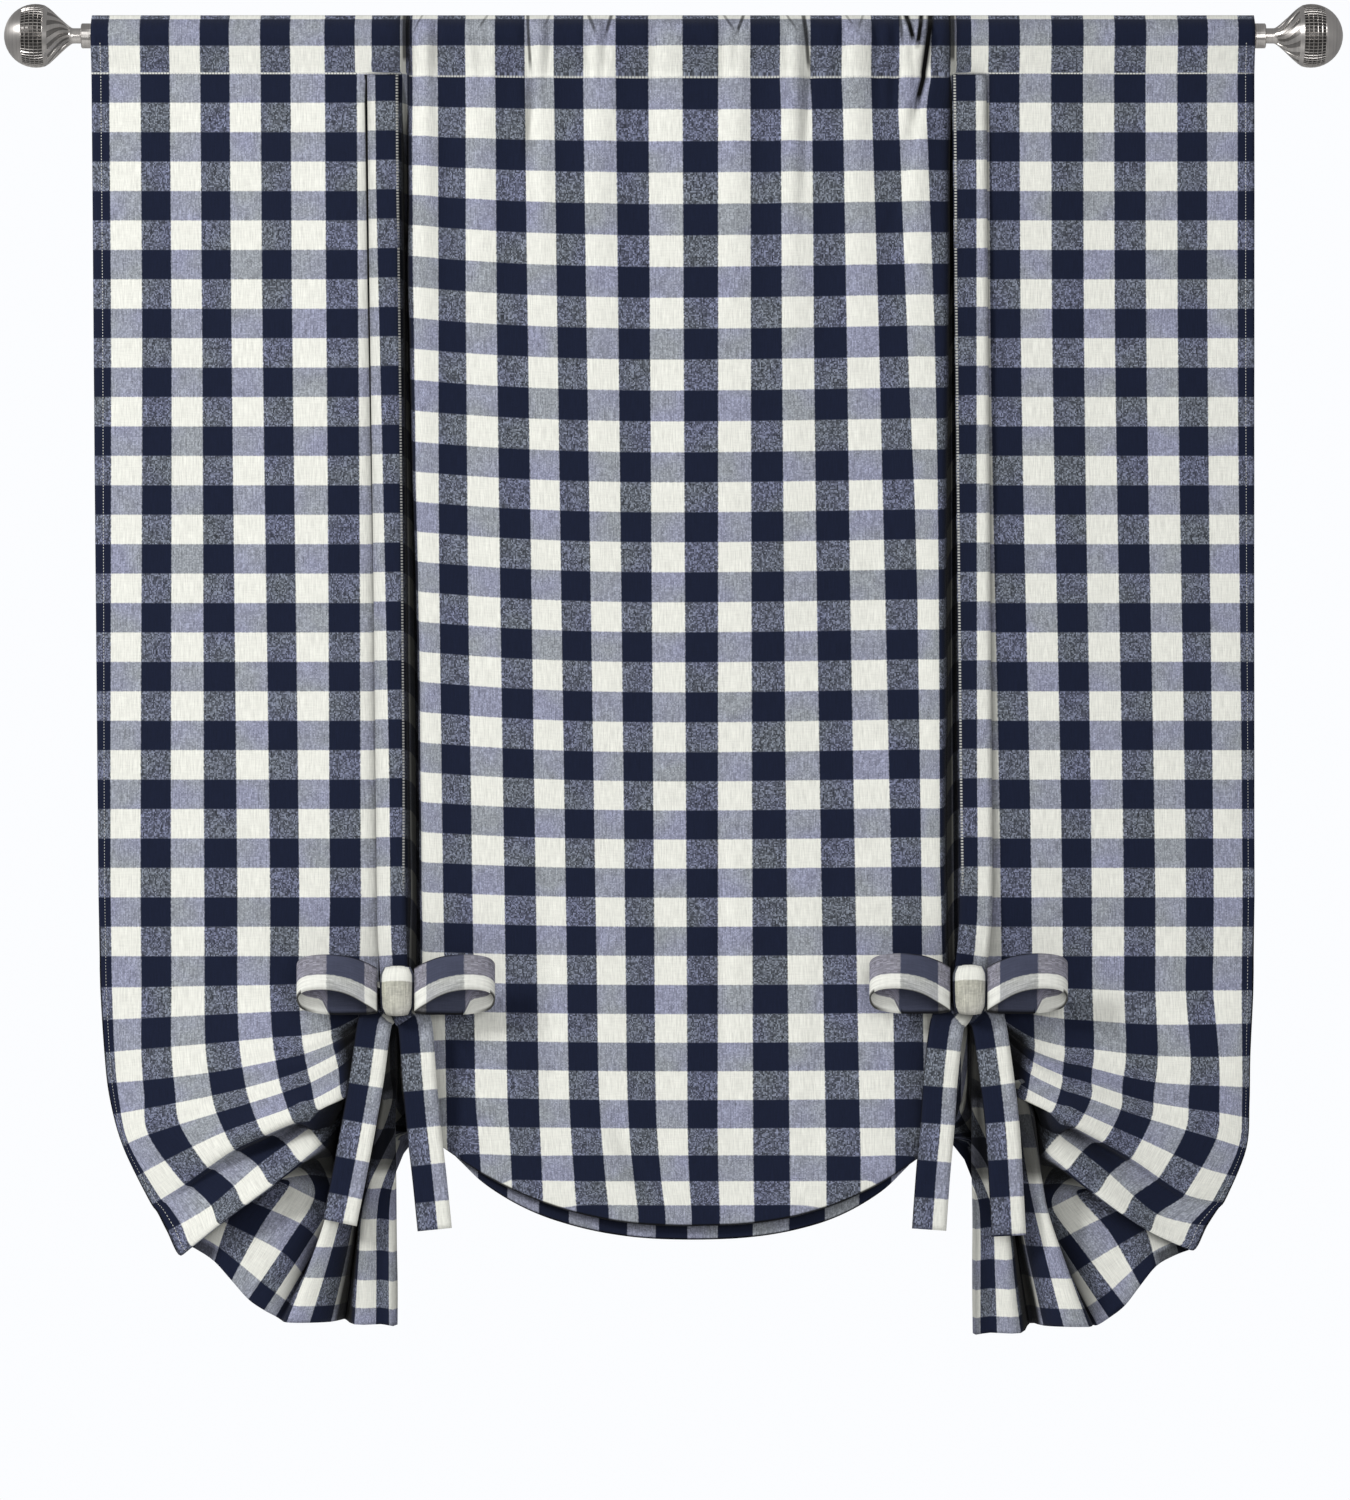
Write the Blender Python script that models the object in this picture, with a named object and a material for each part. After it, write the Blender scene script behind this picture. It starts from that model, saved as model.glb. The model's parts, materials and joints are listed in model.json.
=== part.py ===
"""Gingham tie-up shade on a rod with ball finials.

Metres, +Z up.  The origin is on the rod's axis at mid-length, +X is to the viewer's right,
and the shade's front faces -Y.  Tables are in millimetres and are scaled by MM where they are read.
"""
import math

import bmesh
import bpy
from mathutils import Vector

MM = 0.001

# Rod and finials
ROD_RADIUS = 14.0 * MM
ROD_HALF_LENGTH = 534.3 * MM
ROD_SIDES = 24
SEAT_GAP = 0.3 * MM
COLLAR_RADIUS = 11.5 * MM
COLLAR_LENGTH = 10.0 * MM
COLLAR_EDGE = 0.8 * MM
NECK_RADIUS = 7.0 * MM
NECK_LENGTH = 9.0 * MM
FLARE_LENGTH = 7.0 * MM
BALL_RADIUS = 29.2 * MM
BALL_CENTRE = 52.0 * MM
TURNED_SIDES = 28

# Cloth
CLOTH_THICKNESS = 1.2 * MM
CHECK_HEIGHT = 27.05 * MM
CLOTH_TOP = 19.1 * MM
POCKET_SEAM = 2.0
TIE_ROW = 33.0
SEAM_Y = -5.0 * MM
FLAP_GAP = 1.9 * MM
POCKET_PEAK = CLOTH_TOP - CLOTH_THICKNESS / 2
SHOULDER_ANGLE = math.radians(36.0)
SHOULDER_STEP = math.radians(22.0)

# The deep fold beside each tie, from the side's inner edge to the middle's edge:
# (share of the way across, share of the way in height, forward, share of the layers' spacing)
DEEP_FOLD = (
    (0.16, 0.04, -7.0, 0.2),
    (0.36, 0.15, -12.0, 0.6),
    (0.6, 0.4, -11.0, 0.7),
    (0.82, 0.75, -5.0, 0.2),
)
FOLD_STARTS = 2.2
FOLD_FULL = 5.0
FOLD_DEEPER = 8.0
HIDDEN_SHIFT = 7.0
LAYER_SPACING = 5.0

# Middle of the shade: its lower edge is an arc that turns under and comes down again as the hem
ARC_X = 15.0
ARC_Z = -1098.0
ARC_LEFT = (268.0, 114.0, 2.3)
ARC_RIGHT = (253.0, 108.0, 2.5)
TURN_RADIUS = 2.2
FOLD_RISE = 95.0
EDGE_RISE = 0.0
EDGE_TURN = 0.2
EDGE_REACH = 110.0
MIDDLE_FORWARD = 5.0
MIDDLE_LOW_FORWARD = 12.0
MIDDLE_LEANS_FROM = -840.0
SAG_LEFT = 10.0
SAG_RIGHT = 3.0
MIDDLE_COLUMNS = 18

# The middle below the ties, row by row of the fans:
# (share of the fall to the arc, share of the rise behind it, extra height, layers behind the front one)
MIDDLE_FOLDS = (
    (0.0, 0.0, 0.0, 0.0),
    (0.28, 0.0, 0.0, 0.0),
    (0.54, 0.0, 0.0, 0.0),
    (0.78, 0.0, 0.0, 0.0),
    (1.0, 0.0, 9.0, 0.0),
    (1.0, 0.0, 0.0, 0.5),
    (1.0, 0.0, 9.0, 0.95),
    (1.0, 0.5, 0.0, 1.2),
    (1.0, 0.9, 0.0, 1.45),
    (1.0, 1.0, 0.0, 1.8),
    (1.0, 0.9, 0.0, 2.15),
    (1.0, 0.4, 0.0, 2.35),
    (1.0, 0.0, -10.0, 2.5),
)

# Rows of the straight hang between the pocket seam and the ties
HANG_ROWS = (3.0, 5.0, 9.0, 14.0, 20.0, 26.0, 30.0)

# Lower edge of the middle, row by row: (row, extra drop of the middle below the sides)
MIDDLE_DROP = (
    (0.0, 0.0),
    (4.0, 9.0),
    (8.0, 17.0),
    (14.0, 28.0),
    (24.0, 31.0),
    (33.0, 28.0),
)

# Side outlines: (row, left edge, left inner edge, middle left, middle right, right inner edge, right edge)
OUTLINE = (
    (0.0, -535.0, -252.0, -246.0, 254.0, 261.0, 534.0),
    (2.0, -535.0, -252.0, -245.0, 253.5, 261.0, 534.0),
    (9.0, -533.5, -251.0, -243.0, 252.5, 262.0, 534.0),
    (20.0, -531.0, -248.0, -240.0, 252.0, 263.0, 534.0),
    (30.0, -528.5, -246.0, -237.0, 255.0, 264.0, 534.0),
    (33.0, -527.0, -248.0, -238.0, 257.0, 265.0, 533.0),
)

# Soft gathers under the pocket of the middle: (x, half width, forward, reach in rows)
GATHERS = (
    (-228.0, 11.0, 5.0, 9.0),
    (-176.0, 13.0, 4.5, 7.0),
    (-122.0, 14.0, 4.0, 8.0),
    (-68.0, 15.0, 4.5, 9.0),
    (2.0, 22.0, 2.5, 6.0),
    (56.0, 13.0, 4.5, 8.0),
    (108.0, 14.0, 6.0, 10.0),
    (168.0, 14.0, 4.5, 9.0),
    (224.0, 15.0, 7.5, 12.0),
)

# Fans.  The columns of cloth that the tables follow, counted in checks from the side edge
FAN_COLUMNS = (0.41, 2.0, 4.0, 6.0, 8.0, 10.54)
FAN_ROWS = (33.0, 35.0, 36.5, 38.0, 39.8, 40.4, 41.0, 42.0, 43.0, 44.0, 45.0, 46.5, 48.6)

# How far forward each row stands at those columns; the first row is at the tie
FAN_FORWARD = (
    (0, 0, 0, 2, 5, 8),
    (2, 3, 5, 8, 11, 13),
    (3, 6, 9, 14, 17, 14),
    (4, 9, 14, 21, 22, 15),
    (3, 10, 22, 32, 29, 16),
    (4, 8, 14, 20, 22, 16),
    (6, 11, 17, 20, 19, 16),
    (10, 17, 23, 24, 19, 15),
    (-1, 1, 4, 8, 10, 14),
    (-9, -8, -6, -5, 4, 13),
    (-18, -20, -18, -10, 2, 12),
    (-18, -14, -10, -7, 2, 12),
    (-12, -6, -2, -3, 4, 12),
)

# The left fan: (x, z) of each row at those columns
FAN_LEFT = (
    ((-527, -875), (-489, -875), (-431, -874), (-371, -873), (-317, -871), (-248, -869)),
    ((-523, -935), (-489, -932), (-430, -927), (-368, -921), (-314, -914), (-253, -880)),
    ((-518, -977), (-486, -974), (-425, -965), (-363, -951), (-311, -931), (-254, -887)),
    ((-506, -1021), (-482, -1010), (-419, -990), (-358, -971), (-307, -948), (-254, -895)),
    ((-482, -1070), (-452, -1052), (-404, -1020), (-348, -998), (-303, -979), (-254, -943)),
    ((-474, -1082), (-441, -1059), (-397, -1026), (-344, -1004), (-299, -987), (-254, -957)),
    ((-465, -1099), (-424, -1075), (-380, -1039), (-336, -1010), (-294, -995), (-254, -977)),
    ((-452, -1121), (-416, -1091), (-367, -1056), (-323, -1019), (-287, -1010), (-254, -1004)),
    ((-434, -1089), (-397, -1060), (-355, -1033), (-312, -1034), (-281, -1036), (-254, -1032)),
    ((-406, -1063), (-354, -1044), (-328, -1042), (-303, -1058), (-277, -1061), (-254, -1059)),
    ((-384, -1058), (-338, -1068), (-318, -1078), (-305, -1084), (-275, -1088), (-254, -1087)),
    ((-403, -1082), (-353, -1105), (-331, -1118), (-317, -1122), (-273, -1130), (-254, -1130)),
    ((-441, -1117), (-391, -1159), (-363, -1176), (-334, -1182), (-273, -1184), (-254, -1184)),
)

# The right fan, from its side edge inwards
FAN_RIGHT = (
    ((533, -878), (496, -878), (443, -879), (385, -877), (330, -875), (265, -871)),
    ((530, -938), (501, -939), (445, -938), (386, -932), (331, -922), (269, -881)),
    ((529, -981), (501, -978), (441, -972), (383, -956), (330, -938), (272, -888)),
    ((526, -1023), (498, -1014), (438, -996), (382, -977), (327, -954), (274, -898)),
    ((508, -1068), (472, -1060), (421, -1028), (369, -1002), (322, -979), (274, -952)),
    ((500, -1079), (464, -1070), (414, -1035), (365, -1007), (319, -989), (274, -966)),
    ((490, -1094), (444, -1083), (400, -1048), (355, -1012), (313, -1000), (274, -985)),
    ((483, -1121), (436, -1100), (385, -1065), (341, -1024), (306, -1016), (274, -1012)),
    ((458, -1091), (415, -1068), (373, -1042), (330, -1041), (300, -1043), (274, -1040)),
    ((428, -1070), (375, -1051), (347, -1048), (322, -1065), (296, -1069), (274, -1068)),
    ((405, -1066), (355, -1077), (336, -1085), (323, -1092), (293, -1095), (274, -1095)),
    ((427, -1090), (378, -1115), (356, -1127), (339, -1132), (291, -1137), (274, -1138)),
    ((471, -1126), (415, -1161), (393, -1183), (357, -1185), (293, -1192), (274, -1192)),
)

# Upright pleats of the hanging ends: (column, half width in checks, forward)
TAIL_PLEATS = (
    (5.2, 0.6, 4.0),
    (7.0, 0.5, -12.0),
    (9.2, 0.6, -3.0),
)
PLEATS_START = 41.0
PLEATS_FULL = 45.0

# Ties
TIE_WIDTH = 31.5 * MM
TIE_THICKNESS = 1.5 * MM
KNOT_SIZE = (33.0, 20.0, 47.0)
KNOT_ROUNDING = 6.0 * MM
KNOT_FORWARD = 37.4

# The long ties: (x, z, forward) down the middle of each
STRAP_LEFT = (
    (-265, -36.5, 2.0),
    (-265, -60, 2.4),
    (-264, -200, 4.5),
    (-262, -420, 5.5),
    (-260, -640, 5.5),
    (-258, -780, 6.5),
    (-256, -830, 11.0),
    (-255, -860, 18.5),
    (-254, -884, 21.0),
    (-254, -902, 22.0),
)
STRAP_RIGHT = (
    (272.5, -36.5, 2.0),
    (272.5, -60, 2.4),
    (273, -200, 4.5),
    (274, -420, 5.5),
    (276, -640, 5.5),
    (276, -780, 6.5),
    (273, -830, 11.0),
    (270, -860, 18.5),
    (269, -884, 21.0),
    (269, -902, 22.0),
)

# One bow, from its knot: loops as (out, up, forward, width) with out measured away from the knot's middle
KNOT_LEFT = (-253.5, -877.0)
KNOT_RIGHT = (269.5, -876.0)
LOOP_PATH = (
    (17.2, 1.0, 43.0, 40.0),
    (26.0, 6.5, 47.5, 39.0),
    (42.0, 14.0, 51.5, 35.5),
    (60.0, 17.5, 52.5, 32.5),
    (76.0, 17.0, 50.0, 31.5),
    (86.0, 14.0, 46.0, 31.5),
    (90.0, 8.0, 40.5, 31.5),
    (87.0, 0.0, 34.5, 31.5),
    (78.0, -4.0, 31.0, 31.5),
    (60.0, -6.0, 29.0, 32.5),
    (40.0, -5.0, 28.5, 34.5),
    (26.0, -3.0, 29.5, 38.0),
    (17.2, -1.0, 31.0, 39.0),
)
# Free ends: (out, up, forward), down the middle of each
END_PATHS = {
    "tie_end_left_outer": ((-5, -4, 24.0), (-12, -20, 24.2), (-20, -32, 26.0), (-33, -80, 34.0),
                           (-40, -125, 36.0), (-46, -170, 35.5), (-51.5, -212, 34.5)),
    "tie_end_left_inner": ((6, -6, 26.0), (11, -20, 26.3), (17, -32, 27.4), (21, -80, 29.0),
                           (25, -125, 27.0), (30, -170, 25.5), (35, -219, 25.5)),
    "tie_end_right_inner": ((-6, -5, 26.0), (-11, -20, 26.3), (-19, -32, 27.4), (-25, -80, 29.0),
                            (-28, -125, 27.0), (-32, -170, 25.5), (-35.5, -220, 25.5)),
    "tie_end_right_outer": ((5, -4, 23.9), (12, -20, 24.1), (19, -32, 26.0), (26, -80, 34.0),
                            (31, -125, 36.0), (34, -170, 35.5), (37, -225, 34.5)),
}

COLOURS = {
    "gingham": ((0.24, 0.26, 0.34), 0.9, 0.0),
    "tie_gingham": ((0.30, 0.31, 0.38), 0.9, 0.0),
    "brushed_nickel": ((0.42, 0.40, 0.38), 0.32, 1.0),
    "rod_steel": ((0.50, 0.49, 0.48), 0.35, 1.0),
}


def clear_scene():
    for found in list(bpy.data.objects):
        bpy.data.objects.remove(found, do_unlink=True)


def make_material(name):
    colour, roughness, metallic = COLOURS[name]
    material = bpy.data.materials.new(name)
    material.use_nodes = True
    shader = material.node_tree.nodes["Principled BSDF"]
    shader.inputs["Base Color"].default_value = (*colour, 1.0)
    shader.inputs["Roughness"].default_value = roughness
    shader.inputs["Metallic"].default_value = metallic
    return material


def add_object(name, shape, material, sharp_angle=40.0):
    """Turn a bmesh into a named, smooth-shaded object with its own material."""
    mesh = bpy.data.meshes.new(name)
    shape.to_mesh(mesh)
    shape.free()
    mesh.materials.append(material)
    mesh.shade_smooth()
    mesh.set_sharp_from_angle(angle=math.radians(sharp_angle))
    made = bpy.data.objects.new(name, mesh)
    bpy.context.scene.collection.objects.link(made)
    return made


def sheet(name, grid, thickness, material):
    """A thin sheet through a grid of points: rows of equal length, thickened to both sides."""
    shape = bmesh.new()
    rows = [[shape.verts.new(point) for point in row] for row in grid]
    for upper, lower in zip(rows, rows[1:]):
        for index in range(len(upper) - 1):
            shape.faces.new((upper[index], lower[index], lower[index + 1], upper[index + 1]))
    made = add_object(name, shape, material)
    wall = made.modifiers.new("cloth thickness", "SOLIDIFY")
    wall.thickness = thickness
    wall.offset = 0.0
    wall.use_even_offset = False
    return made


def between(low, high, share):
    return low + (high - low) * share


def read_table(table, key):
    """Values of a table's columns at a key between two of its rows."""
    for upper, lower in zip(table, table[1:]):
        if key <= lower[0]:
            share = (key - upper[0]) / (lower[0] - upper[0])
            return [between(a, b, share) for a, b in zip(upper[1:], lower[1:])]
    return list(table[-1][1:])


def fade(start, full, value):
    """0 before start, 1 after full, and smooth between."""
    share = min(max((value - start) / (full - start), 0.0), 1.0)
    return share * share * (3.0 - 2.0 * share)


def bump(value, centre, half_width):
    return math.exp(-((value - centre) / half_width) ** 2)


def row_height(row):
    """Height of a row of the straight sides, in millimetres."""
    return (CLOTH_TOP - CHECK_HEIGHT * row) / MM


def tangent_angle(y, z, radius, turn):
    """Angle at which a straight from (y, z) touches a circle about the rod's axis."""
    return math.atan2(z, y) + turn * math.acos(radius / math.hypot(y, z))


def pocket_section():
    """Middle line of the pocket as (y, z), from the sewn flap's end, over the rod, to the seam in front."""
    radius = ROD_RADIUS + SEAT_GAP + CLOTH_THICKNESS / 2
    outside = radius / math.cos(SHOULDER_STEP / 2)
    seam_z = row_height(POCKET_SEAM) * MM
    flap_y = SEAM_Y + FLAP_GAP
    back = tangent_angle(flap_y, seam_z, radius, 1.0)
    front = tangent_angle(SEAM_Y, seam_z, radius, -1.0) + 2.0 * math.pi
    shoulder_back = math.pi / 2 - SHOULDER_ANGLE
    shoulder_front = math.pi / 2 + SHOULDER_ANGLE

    def on_rod(angle):
        return (outside * math.cos(angle), outside * math.sin(angle))

    def round_rod(first, last):
        steps = math.ceil((last - first) / SHOULDER_STEP)
        return [on_rod(between(first, last, step / steps)) for step in range(steps + 1)]

    def half_way(first, second):
        return tuple(between(a, b, 0.5) for a, b in zip(first, second))

    flap_end = (flap_y, seam_z)
    seam = (SEAM_Y, seam_z)
    peak = (0.0, POCKET_PEAK)
    section = [flap_end, half_way(flap_end, on_rod(back))]
    section += round_rod(back, shoulder_back)
    near_back = half_way(on_rod(shoulder_back), peak)
    section += [near_back, peak, (-near_back[0], near_back[1])]
    section += round_rod(shoulder_front, front)
    section += [half_way(on_rod(front), seam), seam]
    return section


def gather(x, row):
    """How far forward the soft gathers stand at x, in millimetres."""
    total = 0.0
    for centre, half_width, forward, reach in GATHERS:
        total += forward * bump(x, centre, half_width) * bump(row, 1.0, reach)
    return total


def arc_height(x):
    """Height of the middle's lower edge."""
    reach, rise, power = ARC_LEFT if x < ARC_X else ARC_RIGHT
    return ARC_Z + rise * (abs(x - ARC_X) / reach) ** power


def middle_height(row, share):
    """Height of a row of the middle; share runs from its left edge to its right edge."""
    drop = read_table(MIDDLE_DROP, row)[0]
    sag = between(SAG_LEFT, SAG_RIGHT, share) * (2.0 * share - 1.0) ** 2 * fade(0.0, 8.0, row)
    return row_height(row) - drop + sag


def fan_columns():
    """The table's columns with one more half way between each two, as (column, index, share)."""
    columns = []
    for index in range(len(FAN_COLUMNS) - 1):
        for share in (0.0, 0.5):
            columns.append((between(FAN_COLUMNS[index], FAN_COLUMNS[index + 1], share), index, share))
    columns.append((FAN_COLUMNS[-1], len(FAN_COLUMNS) - 2, 1.0))
    return columns


def cubic(values, index, share):
    """Smooth curve through evenly listed values, between values[index] and values[index + 1]."""
    before = values[max(index - 1, 0)]
    first = values[index]
    second = values[index + 1]
    after = values[min(index + 2, len(values) - 1)]
    a = 2.0 * first
    b = second - before
    c = 2.0 * before - 5.0 * first + 4.0 * second - after
    d = 3.0 * (first - second) + after - before
    return 0.5 * (a + b * share + c * share ** 2 + d * share ** 3)


def tail_pleat(column, row):
    depth = sum(forward * bump(column, centre, half) for centre, half, forward in TAIL_PLEATS)
    return depth * fade(PLEATS_START, PLEATS_FULL, row)


def fan_point(table, number, column, index, share):
    """A point (x, z, forward) of a fan on its row of that number."""
    x = cubic([point[0] for point in table[number]], index, share)
    z = cubic([point[1] for point in table[number]], index, share)
    forward = cubic(FAN_FORWARD[number], index, share) + tail_pleat(column, FAN_ROWS[number])
    return (x, z, forward)


def middle_path(share):
    """The middle below the ties as (x, z, forward): down, under at the arc, up behind, down to the hem.

    Towards the ties the turned layers lie lower and step inwards, so that they nest in the deep folds.
    """
    _, _, mid_left, mid_right, _, _ = read_table(OUTLINE, TIE_ROW)
    x = between(mid_left, mid_right, share)
    inside = min(x - mid_left, mid_right - x)
    inwards = 1.0 if share < 0.5 else -1.0
    free = fade(0.0, EDGE_REACH, inside)
    start = middle_height(TIE_ROW, share)
    arc = arc_height(x)
    rise = between(EDGE_RISE, FOLD_RISE, free)
    turn = between(EDGE_TURN, 1.0, free)
    path = []
    for fall, risen, extra, layer in MIDDLE_FOLDS:
        z = between(start, arc, fall) + risen * rise + extra * (turn if extra > 0.0 else 1.0)
        lean = 1.0 - fade(arc, MIDDLE_LEANS_FROM, z)
        front = between(MIDDLE_FORWARD, MIDDLE_LOW_FORWARD, lean)
        behind = layer * 2.0 * TURN_RADIUS
        step = inwards * behind * (1.0 - fade(0.0, 0.6 * EDGE_REACH, inside))
        path.append((x + step, z, front - behind))
    return path


def middle_columns():
    return [index / MIDDLE_COLUMNS for index in range(MIDDLE_COLUMNS + 1)]


def link(first, second, number, side, row):
    """Points of the deep fold between a side's inner edge and the middle's edge, both (x, z, forward)."""
    open_share = fade(FOLD_STARTS, FOLD_FULL, row)
    deeper = FOLD_DEEPER * (1.0 - fade(26.0, TIE_ROW, row))
    hidden = HIDDEN_SHIFT * fade(0.0, 3.0, number)
    layer = MIDDLE_FOLDS[number][-1]
    points = []
    for share, fall, forward, spacing in DEEP_FOLD:
        x = between(first[0], second[0], share) + side * hidden * math.sin(math.pi * share)
        z = between(first[1], second[1], fall)
        back = forward - deeper - layer * LAYER_SPACING * spacing
        points.append((x, z, between(between(first[2], second[2], share), back, open_share)))
    return points


def joined_row(left, middle, right, number, row):
    """One whole row of the panel, side edge to side edge, as (x, z, forward)."""
    left_fold = link(left[-1], middle[0], number, -1.0, row)
    right_fold = link(right[-1], middle[-1], number, 1.0, row)
    return left + left_fold + middle + right_fold[::-1] + right[::-1]


def hanging_row(row):
    """A row between the pocket seam and the ties."""
    left_edge, left_inner, mid_left, mid_right, right_inner, right_edge = read_table(OUTLINE, row)
    span = FAN_COLUMNS[-1] - FAN_COLUMNS[0]
    left = []
    right = []
    for column, _, _ in fan_columns():
        share = (column - FAN_COLUMNS[0]) / span
        left.append((between(left_edge, left_inner, share), row_height(row), 0.0))
        right.append((between(right_edge, right_inner, share), row_height(row), 0.0))
    middle = []
    for share in middle_columns():
        x = between(mid_left, mid_right, share)
        forward = MIDDLE_FORWARD * fade(2.0, 9.0, row) + gather(x, row)
        middle.append((x, middle_height(row, share), forward))
    return joined_row(left, middle, right, 0, row)


def fan_row(number):
    """A row of the fans, with the same stretch of the middle's turned-under edge."""
    left = [fan_point(FAN_LEFT, number, *place) for place in fan_columns()]
    right = [fan_point(FAN_RIGHT, number, *place) for place in fan_columns()]
    middle = [middle_path(share)[number] for share in middle_columns()]
    return joined_row(left, middle, right, number, FAN_ROWS[number])


def place_row(row):
    """From (x, z, forward) in millimetres to places in metres."""
    return [Vector((x * MM, SEAM_Y - forward * MM, z * MM)) for x, z, forward in row]


def pocket_rows():
    """The pocket round the rod; its gathers stand away from the rod, never into it."""
    flat = hanging_row(POCKET_SEAM)
    section = pocket_section()
    rows = []
    for number, (y, z) in enumerate(section[:-1]):
        row = []
        away = Vector((0.0, y, z)).normalized()
        shown = fade(0.3 * len(section), 0.5 * len(section), number)
        for x, _, forward in flat:
            row.append(Vector((x * MM, y, z)) + away * forward * MM * shown)
        rows.append(row)
    return rows


def make_panel(material):
    grid = pocket_rows()
    for row in (POCKET_SEAM, *HANG_ROWS):
        grid.append(place_row(hanging_row(row)))
    for number in range(len(FAN_ROWS)):
        grid.append(place_row(fan_row(number)))
    return sheet("shade_panel", grid, CLOTH_THICKNESS, material)


def ribbon_grid(path):
    """A ribbon along (x, z, forward, width): three points across, square to its run and to the front."""
    grid = []
    for number, (x, z, forward, width) in enumerate(path):
        before = path[max(number - 1, 0)]
        after = path[min(number + 1, len(path) - 1)]
        run = Vector((after[0] - before[0], 0.0, after[1] - before[1])).normalized()
        across = Vector((run.z, 0.0, -run.x))
        middle = Vector((x * MM, SEAM_Y - forward * MM, z * MM))
        grid.append([middle + across * width * MM * share for share in (-0.5, 0.0, 0.5)])
    return grid


def make_strap(name, path, material):
    width = TIE_WIDTH / MM
    grid = ribbon_grid([(x, z, forward, width) for x, z, forward in path])
    return sheet(name, grid, TIE_THICKNESS, material)


def make_loop(name, knot, side, material):
    """A bow loop: its ribbon stands upright all the way round, and both ends reach the knot."""
    knot_x, knot_z = knot
    grid = []
    for out, up, forward, width in LOOP_PATH:
        x = (knot_x + side * out) * MM
        y = SEAM_Y - forward * MM
        z = (knot_z + up) * MM
        grid.append([Vector((x, y, z + width * MM * share)) for share in (0.5, 0.0, -0.5)])
    return sheet(name, grid, TIE_THICKNESS, material)


def make_end(name, knot, material):
    knot_x, knot_z = knot
    width = TIE_WIDTH / MM
    path = [(knot_x + out, knot_z + up, forward, width) for out, up, forward in END_PATHS[name]]
    return sheet(name, ribbon_grid(path), TIE_THICKNESS, material)


def make_knot(name, knot, material):
    knot_x, knot_z = knot
    shape = bmesh.new()
    bmesh.ops.create_cube(shape, size=1.0)
    bmesh.ops.scale(shape, vec=[size * MM for size in KNOT_SIZE], verts=shape.verts)
    bmesh.ops.bevel(shape, geom=shape.edges[:], offset=KNOT_ROUNDING, segments=3,
                    profile=0.5, affect="EDGES", clamp_overlap=True)
    made = add_object(name, shape, material, sharp_angle=60.0)
    made.location = (knot_x * MM, SEAM_Y - KNOT_FORWARD * MM, knot_z * MM)
    return made


def turned(name, profile, side, start, material):
    """A solid turned about the rod's axis from (along, radius) pairs that begin and end on the axis."""
    shape = bmesh.new()
    verts = [shape.verts.new((along, 0.0, radius)) for along, radius in profile]
    edges = [shape.edges.new(pair) for pair in zip(verts, verts[1:])]
    bmesh.ops.spin(shape, geom=verts + edges, cent=(0, 0, 0), axis=(1, 0, 0),
                   angle=2.0 * math.pi, steps=TURNED_SIDES, use_merge=True)
    bmesh.ops.remove_doubles(shape, verts=shape.verts, dist=0.01 * MM)
    bmesh.ops.scale(shape, vec=(side, 1.0, 1.0), verts=shape.verts)
    bmesh.ops.recalc_face_normals(shape, faces=shape.faces)
    made = add_object(name, shape, material)
    made.location = (side * start, 0.0, 0.0)
    return made


def collar_profile():
    edge = COLLAR_EDGE
    return [
        (0.0, 0.0),
        (0.0, COLLAR_RADIUS - edge),
        (edge, COLLAR_RADIUS),
        (COLLAR_LENGTH - edge, COLLAR_RADIUS),
        (COLLAR_LENGTH, COLLAR_RADIUS - edge),
        (COLLAR_LENGTH, 0.0),
    ]


def finial_profile():
    """Neck, a flare that meets the ball at a tangent, and the ball to its far pole."""
    centre = BALL_CENTRE - COLLAR_LENGTH
    profile = [(0.0, 0.0), (0.0, NECK_RADIUS), (NECK_LENGTH, NECK_RADIUS)]
    meets = math.acos((centre - NECK_LENGTH - FLARE_LENGTH) / BALL_RADIUS)
    flare_end = (centre - BALL_RADIUS * math.cos(meets), BALL_RADIUS * math.sin(meets))
    profile.append((NECK_LENGTH + 0.6 * FLARE_LENGTH, between(NECK_RADIUS, flare_end[1], 0.35)))
    steps = 14
    for step in range(steps + 1):
        angle = between(meets, math.pi, step / steps)
        radius = BALL_RADIUS * math.sin(angle) if step < steps else 0.0
        profile.append((centre - BALL_RADIUS * math.cos(angle), radius))
    return profile


def make_rod(material):
    shape = bmesh.new()
    bmesh.ops.create_cone(shape, cap_ends=True, segments=ROD_SIDES, radius1=ROD_RADIUS,
                          radius2=ROD_RADIUS, depth=2.0 * ROD_HALF_LENGTH)
    made = add_object("rod", shape, material)
    made.rotation_euler = (0.0, math.pi / 2, 0.0)
    return made


def make_hardware():
    nickel = make_material("brushed_nickel")
    make_rod(make_material("rod_steel"))
    collar_start = ROD_HALF_LENGTH + SEAT_GAP
    finial_start = collar_start + COLLAR_LENGTH + SEAT_GAP
    for name, side in (("left", -1.0), ("right", 1.0)):
        turned("collar_" + name, collar_profile(), side, collar_start, nickel)
        turned("finial_" + name, finial_profile(), side, finial_start, nickel)


def make_ties():
    cloth = make_material("tie_gingham")
    make_strap("tie_strap_left", STRAP_LEFT, cloth)
    make_strap("tie_strap_right", STRAP_RIGHT, cloth)
    make_loop("bow_loop_left_outer", KNOT_LEFT, -1.0, cloth)
    make_loop("bow_loop_left_inner", KNOT_LEFT, 1.0, cloth)
    make_loop("bow_loop_right_inner", KNOT_RIGHT, -1.0, cloth)
    make_loop("bow_loop_right_outer", KNOT_RIGHT, 1.0, cloth)
    make_knot("knot_left", KNOT_LEFT, cloth)
    make_knot("knot_right", KNOT_RIGHT, cloth)
    for name in END_PATHS:
        make_end(name, KNOT_LEFT if "left" in name else KNOT_RIGHT, cloth)


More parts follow.
